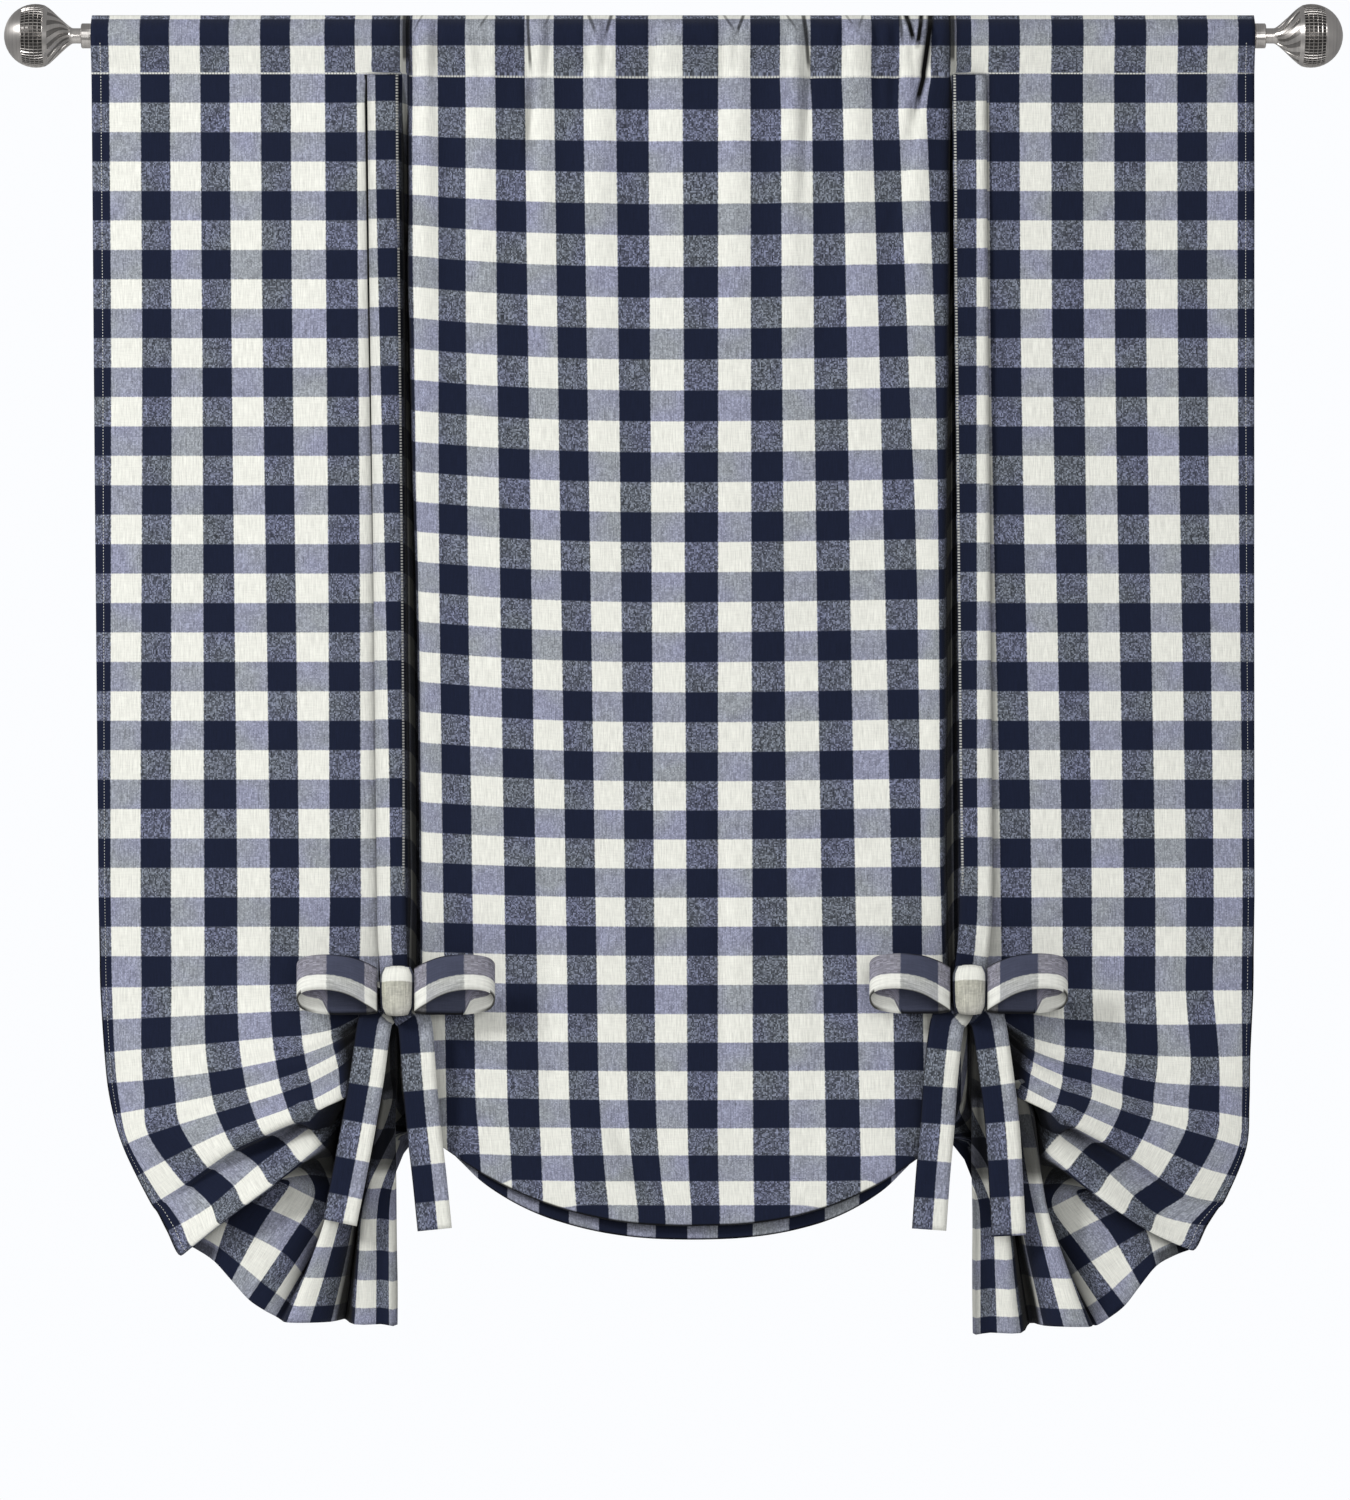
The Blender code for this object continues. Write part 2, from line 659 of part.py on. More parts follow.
def main():
    clear_scene()
    make_hardware()
    make_panel(make_material("gingham"))
    make_ties()


main()
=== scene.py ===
"""Gingham tie-up shade on its rod: visible cloth, ties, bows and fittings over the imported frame."""
import json
import math

import bmesh
import bpy
import numpy as np
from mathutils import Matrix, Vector, noise
from mathutils.bvhtree import BVHTree

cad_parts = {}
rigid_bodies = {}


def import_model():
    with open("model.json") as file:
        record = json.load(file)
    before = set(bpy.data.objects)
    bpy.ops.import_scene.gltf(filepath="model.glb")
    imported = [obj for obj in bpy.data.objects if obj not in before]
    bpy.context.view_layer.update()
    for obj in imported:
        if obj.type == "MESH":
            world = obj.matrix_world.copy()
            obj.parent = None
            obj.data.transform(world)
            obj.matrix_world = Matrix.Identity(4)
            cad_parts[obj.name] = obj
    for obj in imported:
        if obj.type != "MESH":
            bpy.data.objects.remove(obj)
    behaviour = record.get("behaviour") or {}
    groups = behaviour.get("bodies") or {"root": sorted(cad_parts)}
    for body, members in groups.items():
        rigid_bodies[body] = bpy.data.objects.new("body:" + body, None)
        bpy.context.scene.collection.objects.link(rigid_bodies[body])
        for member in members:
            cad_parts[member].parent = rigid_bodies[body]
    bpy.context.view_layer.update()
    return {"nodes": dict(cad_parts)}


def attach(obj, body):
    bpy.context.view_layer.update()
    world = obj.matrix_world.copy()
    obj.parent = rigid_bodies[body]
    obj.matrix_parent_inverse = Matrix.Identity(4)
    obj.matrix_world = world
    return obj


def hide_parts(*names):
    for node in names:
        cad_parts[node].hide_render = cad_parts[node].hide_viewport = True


bl_info = {
    "name": "Gingham Tie-Up Shade",
    "version": (1, 0, 0),
    "blender": (4, 5, 0),
    "location": "View3D > Sidebar > Shade",
    "description": "Builds a gingham tie-up shade with its bows, rod and finials",
    "category": "Object",
}

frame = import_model()
MM = 0.001

# Cloth, in millimetres. Rows count checks down from the top, and columns count them from the left edge
CHECK_HEIGHT = 27.05
CLOTH_TOP = 19.1
ROD_RADIUS = 14
POCKET_SEAM = 2  # row
POCKET_ROW_HEIGHT = 24.65
TIE_ROW = 33
SEAM_Y = -5
FLAP_GAP = 1.9
SHOULDER_ANGLE = math.radians(36)
SHOULDER_STEP = math.radians(22)
ROD_CLEARANCE = 0.9

# The deep fold beside each tie, from the side's inner edge to the middle's edge:
# (share of the way across, share of the way in height, forward, share of the layers' spacing)
DEEP_FOLD = (
    (0.16, 0.04, -7, 0.2),
    (0.36, 0.15, -12, 0.6),
    (0.6, 0.4, -11, 0.7),
    (0.82, 0.75, -5, 0.2),
)
# Rows where that fold starts to open and where it is open
FOLD_STARTS = 2.2
FOLD_FULL = 5
# How much deeper it is, down to the row where that eases
FOLD_DEEPER = 8
FOLD_EASES = 26
# How far it slips aside below the ties and at the hem, and over which of the fans' rows
HIDDEN_SHIFT = 7
HIDDEN_OVER = (0, 3)
TAIL_SHIFT = 19
TAIL_OVER = (5, 8)
# The gap between its layers
LAYER_SPACING = 5

# Middle of the shade. Its arc is lowest at ARC_X and rises by (reach, rise, power) to each side
ARC_X = 15
ARC_Z = -1093.5
ARC_LEFT = (268, 105, 2.3)
ARC_RIGHT = (253, 99, 2.5)
# The painted shadow line along its lower edges: where it ends, how far up its mark reaches and how wide it
# is
MIDDLE_SPAN = (-231, 249)
EDGE_SHADE_REACH = 40
EDGE_SHADE_WIDTH = 2.1
# The cloth turns under at the arc, rises behind and comes down to a hem that shows as a band
TURN_RADIUS = 2.2
FOLD_RISE = 95
HEM_DROP = 13.5
HEM_ROW = 48.6
ARC_BAND = 11.5
# How much of the band is left at the middle's edges, and how far in it is whole
EDGE_TURN = 0.4
EDGE_REACH = 110
# How far forward the middle and its foot stand, and the height it leans forward from
MIDDLE_FORWARD = 5
MIDDLE_LOW_FORWARD = 12
MIDDLE_LEANS_FROM = -840
# How much higher its rows are at its two edges: the rows over which that grows, the row from which it
# shrinks down to the ties, and the share that is lost there
SAG_LEFT = 10
SAG_RIGHT = 3
SAG_GROWS = (0, 8)
SAG_SHRINKS = 22
SAG_LOST = 0.65
MIDDLE_CELLS = 18
MIDDLE_ROW_HEIGHT = 26.2
# Rows look shorter at the middle's foot, where its cloth curves away
FOOT_DEPTH = 131
FOOT_ROW_HEIGHT = 22
# Checks that the band's columns are off those above it
BAND_SHIFT = 1

# The middle below the ties, row by row of the fans:
# (share of the fall to the arc, share of the rise behind it, extra height, layers behind the front one)
MIDDLE_FOLDS = (
    (0, 0, 0, 0),
    (0.28, 0, 0, 0),
    (0.54, 0, 0, 0),
    (0.78, 0, 0, 0),
    (1, 0, ARC_BAND, 0),
    (1, 0, 0, 0.5),
    (1, 0, ARC_BAND, 0.95),
    (1, 0.5, 0, 1.2),
    (1, 0.9, 0, 1.45),
    (1, 1, 0, 1.8),
    (1, 0.9, 0, 2.15),
    (1, 0.4, 0, 2.35),
    (1, 0, -HEM_DROP, 2.5),
)
# Rows of that table where the cloth turns under, and where it stands highest behind
TURNED_UNDER = 5
HIGHEST_BEHIND = 9
# The row whose check columns the cloth behind keeps
BACK_CHECKS_ROW = 36

# Drop of the middle's rows below the sides': (row, drop)
MIDDLE_DROP = (
    (0, 0),
    (4, 8.5),
    (8, 16),
    (14, 24),
    (24, 29),
    (33, 26),
)

# Where the middle's check columns stand: (checks from the left edge, x at the top, x at the foot's row)
CHECKS_FOOT = 38
MIDDLE_CHECKS = (
    (12, -262, -252),
    (13, -240.5, -229),
    (14, -217.5, -208.5),
    (15, -191.8, -180.8),
    (17, -137.5, -122.8),
    (19, -84.2, -67.6),
    (21, -23.5, -16.1),
    (22, 7.8, 13.3),
    (23, 41.9, 40),
    (24, 70.4, 73.1),
    (26, 122.8, 140.3),
    (27, 153.2, 171.6),
    (28, 180.8, 203.8),
    (29, 205.6, 235.1),
    (30, 242.4, 266),
    (31, 266, 298),
)

# How far they stand from a straight line between those:
# (checks, at the rows 1, 3, 10, 19, 28, 36, 38 and 40.3)
SHIFT_ROWS = (1, 3, 10, 19, 28, 36, 38, 40.3)
MIDDLE_SHIFTS = (
    (13, 0, 0, 0, 0, 0, 0, 0, 0),
    (14, 0, 0, -1, -4.4, -3.5, -0.7, 0, 0),
    (15, 0, 0, -2, -1.8, -0.8, -0.2, 3.5, 6),
    (17, 0, 0, 0, 0, 0, 0, 1.4, 3.5),
    (19, 0, 0, 0, 0, 0, 0, 3.7, 9.2),
    (21, 0, 0, 0, 0, 0, 0, 1.9, 9.2),
    (22, 0, 0, 0, 0, 0, 0, 0, 2.9),
    (25, 0, 0, 0, 0, 0, 0, 0, 0),
    (26, 0, 3, 0.9, 0, 0, 0, 0, 0),
    (27, 0, 1.8, 1.4, 0, 0, 0, 0, 0),
    (28, 0, 0, 1.7, 2.3, 1.9, 0.4, 0, 0),
    (29, 0, -1.4, 1.9, 5.1, 4, -1.6, -3, -3),
    (30, 0, -12, -11, -13, -17.4, -13.1, -12, -12),
    (31, 0, -10, -10, -14, -18, -13.2, -12, -12),
)

# Outlines: (row, left edge, left inner edge, middle left, middle right, right inner edge, right edge)
OUTLINE = (
    (0, -535, -252, -240.5, 254, 261, 534),
    (2, -535, -252, -240.5, 252.5, 261, 534),
    (9, -533.5, -251, -240, 250, 262, 534),
    (14, -532.4, -249.6, -237.8, 248.5, 262.5, 534),
    (20, -531, -248, -233, 247, 263, 534),
    (30, -528.5, -246, -229.5, 247.5, 264, 534),
    (33, -527, -248, -230, 248, 265, 533),
)

# Soft gathers under the pocket: (x, half width, forward, reach in rows)
GATHERS = (
    (-228, 11, 5, 9),
    (-176, 13, 4.5, 7),
    (-122, 14, 4, 8),
    (-68, 15, 4.5, 9),
    (2, 22, 2.5, 6),
    (56, 13, 4.5, 8),
    (108, 14, 6, 10),
    (168, 14, 4.5, 9),
    (224, 15, 7.5, 12),
)

# Sides at the pocket, column by column from the side edge:
# (column, x at the pocket on the left, on the right, checks on the left, on the right, checks at the hem)
SIDES = (
    (0.41, -535, 534, 0.41, 0.41, 0.41),
    (1.2, -513, 513, 1.2, 1.2, 1.2),
    (2, -490, 490.5, 2, 2, 2),
    (3, -463, 463, 3, 3, 3),
    (4, -435, 434, 4, 4, 4),
    (5, -408, 405, 5, 5, 5),
    (6, -379.5, 376.5, 6, 6, 6),
    (6.5, -366, 362, 6.5, 6.5, 6.5),
    (7, -352, 347, 7, 7, 7),
    (8, -320.5, 318, 8, 8, 8),
    (8.6, -304, 303, 8.6, 8.57, 9),
    (8.9, -293, 293, 8.94, 8.9, 10),
    (9.27, -283, 284, 9.27, 9.2, 11),
    (9.9, -268, 273, 9.83, 9.6, 12.3),
    (10.54, -252, 261, 10.4, 10, 13.75),
)
SIDE_STEPS = (4, 4, 4, 4, 4, 4, 3, 3, 4, 3, 3, 3, 3, 3)
# Checks that the sides' inner edges show inside the pocket and not below it: column to (left, right)
POCKET_TUCK = {8.9: (0.03, -0.06), 9.27: (0.4, 0.08), 9.9: (0.62, 0.43), 10.54: (0.5, 0.85)}
WHOLE_WIDTH = 43

# Fans: columns and rows of cloth
FAN_COLUMNS = (0.41, 2, 4, 6, 8, 10.54)
FAN_ROWS = (33, 35, 36.5, 38, 39.8, 40.4, 41, 42, 43, 44, 45, 46.5, 48.6)
FAN_STEPS = (7, 6, 6, 7, 5, 5, 6, 7, 6, 6, 7, 8)

# Rows down to the upper lobe's front fold have all the columns, and those below it only the outer ones
UPPER_ROWS = 5
OUTER_COLUMNS = 4
# Rows between which the lobes spread to their full width
LOBES_OPEN = (41, 44.5)

# How far forward each row stands at those columns
FAN_FORWARD = (
    (0, 0, 0, 2, 5, 8),
    (2, 3, 5, 8, 11, 13),
    (3, 6, 9, 14, 17, 14),
    (4, 9, 14, 21, 22, 15),
    (3, 10, 22, 32, 29, 16),
    (4, 6, 9, 4),
    (6, 11, 15, 13),
    (10, 17, 22, 18),
    (0, 1, 3, -4),
    (-8, -9, -8, -12),
    (-14, -16, -13, -15),
    (-10, -9, -5, -12),
    (-4, 1, -2, -4),
)

# The left fan and the right: (x, z) of each row at those columns
FAN_LEFT = (
    ((-527, -875), (-489, -875), (-431, -874), (-371, -873), (-317, -871), (-248, -869)),
    ((-523, -935), (-489, -932), (-430, -927), (-368, -921), (-314, -914), (-253, -880)),
    ((-518, -977), (-486, -974), (-425, -965), (-363, -951), (-311, -931), (-254, -887)),
    ((-506, -1021), (-482, -1010), (-419, -990), (-358, -971), (-307, -948), (-254, -895)),
    ((-482, -1070), (-452, -1052), (-404, -1020), (-348, -996), (-303, -975), (-254, -943)),
    ((-474, -1082), (-441, -1059), (-397, -1026), (-342, -1000)),
    ((-465, -1099), (-424, -1075), (-381, -1038), (-334, -1004)),
    ((-452, -1121), (-416, -1091), (-367, -1055), (-322, -1018)),
    ((-440, -1096), (-402, -1073), (-350, -1040), (-314, -1030)),
    ((-426, -1070), (-388, -1058), (-336, -1048), (-308, -1054)),
    ((-414, -1046), (-379, -1048), (-331, -1070), (-308, -1078)),
    ((-436, -1070), (-406, -1082), (-352, -1105), (-335, -1125)),
    ((-449, -1111), (-422, -1127), (-391, -1162), (-366, -1178)),
)
FAN_RIGHT = (
    ((533, -878), (496, -878), (443, -879), (385, -877), (330, -875), (265, -871)),
    ((530, -938), (501, -939), (445, -938), (386, -932), (331, -922), (269, -881)),
    ((529, -981), (501, -978), (441, -972), (383, -956), (330, -938), (272, -888)),
    ((526, -1023), (498, -1014), (438, -996), (382, -977), (327, -954), (274, -898)),
    ((508, -1068), (472, -1060), (421, -1028), (369, -1000), (322, -977), (274, -952)),
    ((500, -1079), (464, -1070), (414, -1035), (363, -1004)),
    ((490, -1094), (444, -1083), (400, -1046), (354, -1010)),
    ((477, -1116), (436, -1098), (386, -1063), (341, -1024)),
    ((464, -1098), (424, -1082), (372, -1050), (334, -1036)),
    ((450, -1076), (410, -1066), (358, -1056), (330, -1060)),
    ((438, -1058), (398, -1056), (349, -1078), (334, -1082)),
    ((460, -1080), (430, -1088), (375, -1115), (358, -1127)),
    ((474, -1117), (444, -1131), (415, -1168), (390, -1186)),
)

# The pleats that hang from each knot: (column, x on the left at the knot, in the middle, at the hem,
# the same three on the right, forward at the knot, in the middle, at the hem)
HANGING_PLEATS = (
    (6.5, -306, -313, -360, 334, 337, 386, -14, -16, -5),
    (7, -294, -317, -354, 321, 344, 381, 22, 22, 15),
    (8, -282, -304.5, -334, 309, 331, 358, 25, 21, 14),
    (8.6, -276, -293, -316, 302, 317, 340, 8, 5, 2),
    (8.9, -272, -289.5, -303, 297, 312.5, 329, -20, -26, -24),
    (9.27, -267, -286, -291.5, 291, 308, 319, 15, 13, 11),
    (9.9, -260, -268.5, -268.5, 282, 289.5, 291, 12, 8, 7),
    (10.54, -254, -254, -254, 274, 274, 274, 16, 14, 12),
)
# Heights of their rows: (row, front pleat and inner edge on the left, the same on the right)
PLEAT_HEIGHTS = (
    (41, -961, -977, -961, -985),
    (42, -991, -1004, -991, -1012),
    (43, -1021, -1032, -1021, -1040),
    (44, -1054, -1059, -1054, -1068),
    (45, -1081, -1087, -1081, -1095),
    (46.5, -1127, -1130, -1127, -1138),
    (48.6, -1182, -1184, -1186, -1192),
)
# Rows that those tables call the knot, the middle and the hem
PLEAT_ROWS = (41, 45, 48.6)
# How far the row above them sinks back, and the column where the inner edge's heights begin
FIRST_PLEAT_BACK = 5
INNER_PLEATS = 9
# The column that sinks between the lobes and the pleats: how much lower it is, row by row
HOLLOW_COLUMN = 6.5
HOLLOW_DROP = {40.4: -24, 41: -27, 42: -12}
HOLLOW_FORWARD = -6

# Small pleats that run out of each knot: (row at the knot, row at the side edge, half width, forward)
KNOT_PLEATS = (
    (34.3, 34.8, 0.35, 2.5),
    (35.4, 35.6, 0.3, 3.5),
    (36.4, 36.6, 0.3, 4),
    (37.4, 37.6, 0.35, 3.5),
)

# Tight creases where the middle is pushed together on the rod:
# (x, half width, depth, reach in rows, slant per row)
PUCKERS = (
    (-238, 4.5, 4.5, 2.4, 1),
    (-217, 4, 4.2, 2, -1),
    (-181, 4, 4.4, 2.2, 1.5),
    (-171, 3.6, 4, 1.6, -1),
    (-134, 5, 6, 4.2, 1),
    (-113, 4, 4.6, 2.2, -2),
    (-80, 4, 4.2, 1.9, 1.5),
    (-62, 4, 4.4, 1.9, -1.5),
    (-18, 5, 3, 2.2, 0),
    (44, 4, 4.6, 2, 1.5),
    (58, 4, 4.2, 2, -1),
    (103, 4, 4.4, 2.1, 1),
    (126, 4.5, 6.2, 4.4, -1.2),
    (157, 4, 4.4, 2, -1),
    (186, 4, 4.4, 2, 1),
    (205, 4.5, 6.6, 2.5, -1),
    (219, 4, 6, 2.3, 0.8),
    (242, 5.5, 10, 4.2, -6),
)

# How far the middle's cloth stands off the rod between those creases, and where it starts and ends
PUFF = 3
PUFF_SPAN = (-243, -227, 241, 253)
PUFF_ROWS = (0.4, 1.25)  # its middle row and half its height

# How uneven the hung cloth is: (height, waves across and down, in radians for each millimetre, layer)
UNEVENNESS = (
    (2.2, 0.011, 0.0028, 3),
    (0.7, 0.03, 0.016, 7),
)

# Painted shadow lines down the panel: beside the left tie, along the side edges low down, and in the
# pocket's creases:
# (checks, first row, last row, lean per row, half width, darkness)
PANEL_SHADE_LINES = (
    (9.28, 2.05, 34, 0.009, 0.06, 1),
    (0.41, 31, 42.5, 0, 0.07, 0.92),
    (42.59, 31, 42.5, 0, 0.07, 0.92),
    (11.97, -0.6, 2, 0, 0.62, 0.92),
    (31.20, -0.6, 2, 0, 0.55, 0.92),
    (13.43, -0.2, 0.7, -0.5, 0.04, 0.5),
    (15.76, -0.2, 0.6, -0.5, 0.04, 0.5),
    (17.10, -0.2, 2.1, 0.05, 0.05, 0.8),
    (17.20, 2, 4.8, -0.1, 0.12, 0.4),
    (17.86, -0.2, 0.5, -0.35, 0.04, 0.5),
    (19.16, -0.2, 0.7, 0.33, 0.05, 0.7),
    (19.88, -0.2, 0.8, -0.2, 0.05, 0.8),
    (23.16, -0.2, 0.6, 0.45, 0.04, 0.6),
    (23.80, -0.2, 0.7, -0.3, 0.05, 0.8),
    (25.22, -0.2, 0.6, 0.5, 0.04, 0.6),
    (25.78, -0.2, 2.2, 0.09, 0.06, 0.85),
    (27.13, -0.2, 0.6, 0.5, 0.04, 0.5),
    (27.73, -0.2, 0.7, -0.3, 0.04, 0.5),
    (29.00, -0.2, 1.1, 0.08, 0.05, 0.7),
    (29.20, -0.2, 1, 0.22, 0.08, 1),
    (29.70, -0.2, 1.2, -0.12, 0.07, 1),
    (30.00, -0.2, 3.2, -0.11, 0.10, 1),
)

# Soft folds low in the middle: (x and z at the top, x and z at the foot, half width, depth)
LOW_FOLDS = (
    (-62, -985, -6, -1102, 9, 4.5),
    (44, -690, 45, -950, 8, 2.5),
    (-118, -760, -110, -1010, 10, 1.8),
    (150, -700, 128, -1060, 12, 2),
)

TIE_WIDTH = 31.5
KNOT_LEFT = (-253.5, -877)
KNOT_RIGHT = (269.5, -876)
KNOT_FORWARD = 37.4
KNOT_ASIDE = 1.2
KNOT_HEIGHT = 45.2
KNOT_HALF_WIDTHS = (14.9, 13.9)
KNOT_HALF_DEPTH = 9.2
KNOT_LEVELS = 14
KNOT_ROUND = 40
# Its square cross-section's power, how far its edges turn in, and how high its creases stand
KNOT_SQUARE = 0.55
KNOT_TURNED_IN = 0.22
KNOT_CREASE = 0.5
KNOT_CHECKS = (1.8, 5.2)
KNOT_ROWS = (3.62, 4.93)

# Ties: (x, z, forward) down the middle of each
STRAP_LEFT = (
    (-267, -36.5, 2),
    (-266.8, -60, 2.4),
    (-265.5, -200, 4.5),
    (-263.2, -380, 5.5),
    (-261.3, -560, 5.5),
    (-259.6, -740, 6),
    (-258.5, -820, 10),
    (-256, -860, 18.5),
    (-254, -884, 21),
    (-254, -902, 22),
)
STRAP_RIGHT = (
    (271.8, -36.5, 2),
    (272, -60, 2.4),
    (273, -200, 4.5),
    (275, -420, 5.5),
    (277, -640, 5.5),
    (278, -780, 6.5),
    (276, -830, 11),
    (272, -860, 18.5),
    (269, -884, 21),
    (269, -902, 22),
)

# Their parts in the pattern:
# (name, path, widths at top and foot in tie widths, first check, last check, stitched check, drift low down)
STRAP_DRIFT_ROWS = (6, 26)
STRAPS = (
    ("tie_strap_left", STRAP_LEFT, (0.93, 0.78), 1.73, 2.80, 2.74, -0.23),
    ("tie_strap_right", STRAP_RIGHT, (1.01, 0.9), 2.21, 3.36, 2.29, 0.16),
)

# Bow loops: (name, side of the knot)
LOOPS = (
    ("bow_loop_left_outer", -1),
    ("bow_loop_left_inner", 1),
    ("bow_loop_right_inner", -1),
    ("bow_loop_right_outer", 1),
)
# A bow loop from its knot and back: (out, up, forward, height of the ribbon)
LOOP_PATH = (
    (17.2, 1, 43, 40),
    (26, 6.5, 47.5, 39),
    (42, 14, 51.5, 35.5),
    (60, 17.5, 52.5, 32.5),
    (76, 17, 50, 31.5),
    (86, 14, 46, 31.5),
    (90, 8, 40.5, 31.5),
    (87, 0, 34.5, 31.5),
    (78, -4, 31, 31.5),
    (60, -6, 29, 32.5),
    (40, -5, 28.5, 34.5),
    (26, -3, 29.5, 38),
    (17.2, -1, 31, 39),
)
# Its creases beside the knot as (height, reach), and its belly in front of LOOP_FRONT and behind it
LOOP_CREASES = (0.5, 9)
LOOP_FRONT = 40
LOOP_BELLY = (0.8, -0.32)
# Millimetres along a loop, and the pattern's rows and drift there. The drift moves the back band onto the
# dark stripe, as painted shade inside the loop
LOOP_ROWS = ((0, 14, 50, 122, 158, 180), (-0.4, 0, 1, 2, 3, 3.6))
LOOP_SHADE_DRIFT = ((116, 124), (0, -0.55))
LOOP_CHECKS = (2.34, 3.5)
END_CHECKS = (2.32, 3.47)
END_ROW_HEIGHT = 34.2
END_TOP_ROW = 3 - 54 / END_ROW_HEIGHT
# Free ends: (out, up, forward) from the knot, down the middle of each
END_PATHS = {
    "tie_end_left_outer": ((-5, -4, 24), (-13, -18, 24.2), (-20, -30, 26), (-26.5, -78, 34),
                           (-34.5, -125, 36), (-43, -170, 35.5), (-51.5, -212, 34.5)),
    "tie_end_left_inner": ((6, -6, 26), (11, -20, 26.3), (17, -32, 27.4), (21, -80, 29),
                           (25, -125, 27), (30, -170, 25.5), (35, -219, 25.5)),
    "tie_end_right_inner": ((-6, -5, 26), (-11, -20, 26.3), (-19, -32, 27.4), (-25, -80, 29),
                            (-28, -125, 27), (-32, -170, 25.5), (-35.5, -220, 25.5)),
    "tie_end_right_outer": ((5, -4, 23.9), (12, -20, 24.1), (19, -32, 26), (26, -80, 34),
                            (31, -125, 36), (34, -170, 35.5), (37, -225, 34.5)),
}

# Sewing lines on the panel, and painted shadow lines along the edges of the loops and free ends, in checks:
# (direction, place, half width, dash share, from, to, lean, strength)
PANEL_STITCHES = (
    ("down", 0.72, 0.009, 0.5, 0.9, 48, 0, 1),
    ("down", WHOLE_WIDTH - 0.72, 0.009, 0.5, 0.9, 48, 0, 1),
    ("across", POCKET_SEAM, 0.025, 0.8, 0.3, 11, 0, 1),
    ("across", POCKET_SEAM, 0.012, 0.8, 12.5, 30.6, 0, 0.7),
    ("across", POCKET_SEAM, 0.02, 0.8, WHOLE_WIDTH - 11, WHOLE_WIDTH - 0.3, 0, 1),
)
LOOP_SHADE_LINES = (
    ("down", 2.33, 0.035, 1, -1, 1.2, 0, 0.9),
    ("down", 3.51, 0.035, 1, -1, 1.2, 0, 0.9),
    ("down", 3.51, 0.1, 1, 1.35, 1.9, 0, 0.92),
    ("down", 2.96, 0.1, 1, 2.05, 9, 0, 0.92),
)
END_SHADE_LINES = (("down", 2.31, 0.035, 1, 2, 60, 0, 0.85),)

# Weave: how sharp and how uneven its stripes' edges are, threads for each check, crossings that can show a
# fleck, how the mixed checks lean in colour, and the sewing thread's colour
STRIPE_STEEPNESS = 11
STRIPE_WANDER = 0.05
WEAVE_THREADS = 30
FLECK_THREADS = (25, 22, 1)
CHECK_TINTS = ((1.03, 1.02, 0.93, 1), (0.97, 0.94, 1.05, 1))
THREAD_COLOUR = (0.76, 0.76, 0.71, 1)

# Shadows painted into the cloth's colour. Each span says where a shadow starts, is full, falls and is gone,
# in columns or rows
MARKS_CHANGE = 34  # row where the fans' shadows and the arc's outline take over
DEEP_FOLD_DARK = (0.6, 0.93)  # of the fold beside each tie, at the pocket and lower
DEEP_FOLD_SPAN = (10.5, 11.3, 12.1, 12.7)
# Under each knot: darkness, rows, and millimetres from the middle's edge over which it fades
KNOT_SHADOW = 0.88
KNOT_SHADOW_ROWS = (39, 40, 43.2, 43.7)
KNOT_SHADOW_FADES = (48, 58)
BESIDE_MIDDLE = 12  # nothing in the fans is marked closer to the middle than this
# Between the upper and the lower lobe: darkness, columns, the row and half its height
LOBE_SHADOW = 0.8
LOBE_SHADOW_SPAN = (4, 7.6, 7.8, 8.2)
LOBE_SHADOW_ROW = (40.6, 0.6)
# The trough beside the lower lobe: its column and half its width
TROUGH = (6.2, 0.75)
# Plain shadows in the fans: (darkness, span in columns, span in rows)
# for the hem's corner, beside the knot, under the upper lobe and on the lower one
FAN_SHADOWS = (
    (0.8, (-1, 0, 1.95, 2.05), (47.95, 48.05, 49, 50)),
    (1, (7.95, 8.4, 12, 13), (34.6, 35.6, 40.6, 41.4)),
    (0.9, (6.7, 7, 8.7, 9), (40.6, 41.2, 43.6, 44.2)),
    (1, (1.2, 4.6, 6.85, 7.05), (41.95, 42.5, 43.6, 45.2)),
)
FOLD_DARKEST = 0.96

# How the painted shade in the cloth's hollows is found, in metres: rays for each vertex, their start and
# their reach
HOLLOW_SHADE_RAYS = 18
RAY_START = 0.0008
HOLLOW_SHADE_REACH = 0.045

# Stage, in metres: what the frame shows at the rod, the floor and the lights
FRAME_CENTRE = (0.0014, -0.657)
FRAME_HEIGHT = 1.38
SENSOR_WIDTH = 36
FLOOR_HEIGHT = -1.6
LIGHTS_AIM = (0, 0, -0.6)
# (name, place, share of the key power, size)
LIGHTS = (
    ("key light", (-2.9, -2.5, 1.3), 1, 0.8),
    ("front light", (0.9, -4.2, 0), 0.45, 1.5),
)

# Fittings
BALL_RADIUS = 29.2
BALL_CENTRE = 586.6
BALL_SEGMENTS = 56
BALL_RINGS = 22
# Distances here run from the ball's centre towards the rod
BALL_CUT = BALL_RADIUS * math.cos(math.radians(9 * 180 / BALL_RINGS))
BELT_START = -12
# The flare from the ball to the neck: (distance, radius)
FLARE = (
    (12, 25.6),
    (15.5, 22.7),
    (19, 19.4),
    (22.5, 16.1),
    (26, 12.9),
    (29, 10.3),
    (31.5, 8.4),
    (33.5, 7.2),
    (35, 7),
    (41.7, 7),
)
FLUTE_TURN = math.radians(40)
# Rims and depths that the belt's dots and the flutes are cut to
DOT_RIM = 0.75
DOT_DEPTH = 0.7
FLUTE_RIM = 0.4
FLUTE_DEPTH = 0.6


def between(low, high, share):
    return low + (high - low) * share


def fade(start, full, value):
    """0 before start, 1 after full, and smooth between."""
    share = min(max((value - start) / (full - start), 0.0), 1.0)
    return share * share * (3.0 - 2.0 * share)


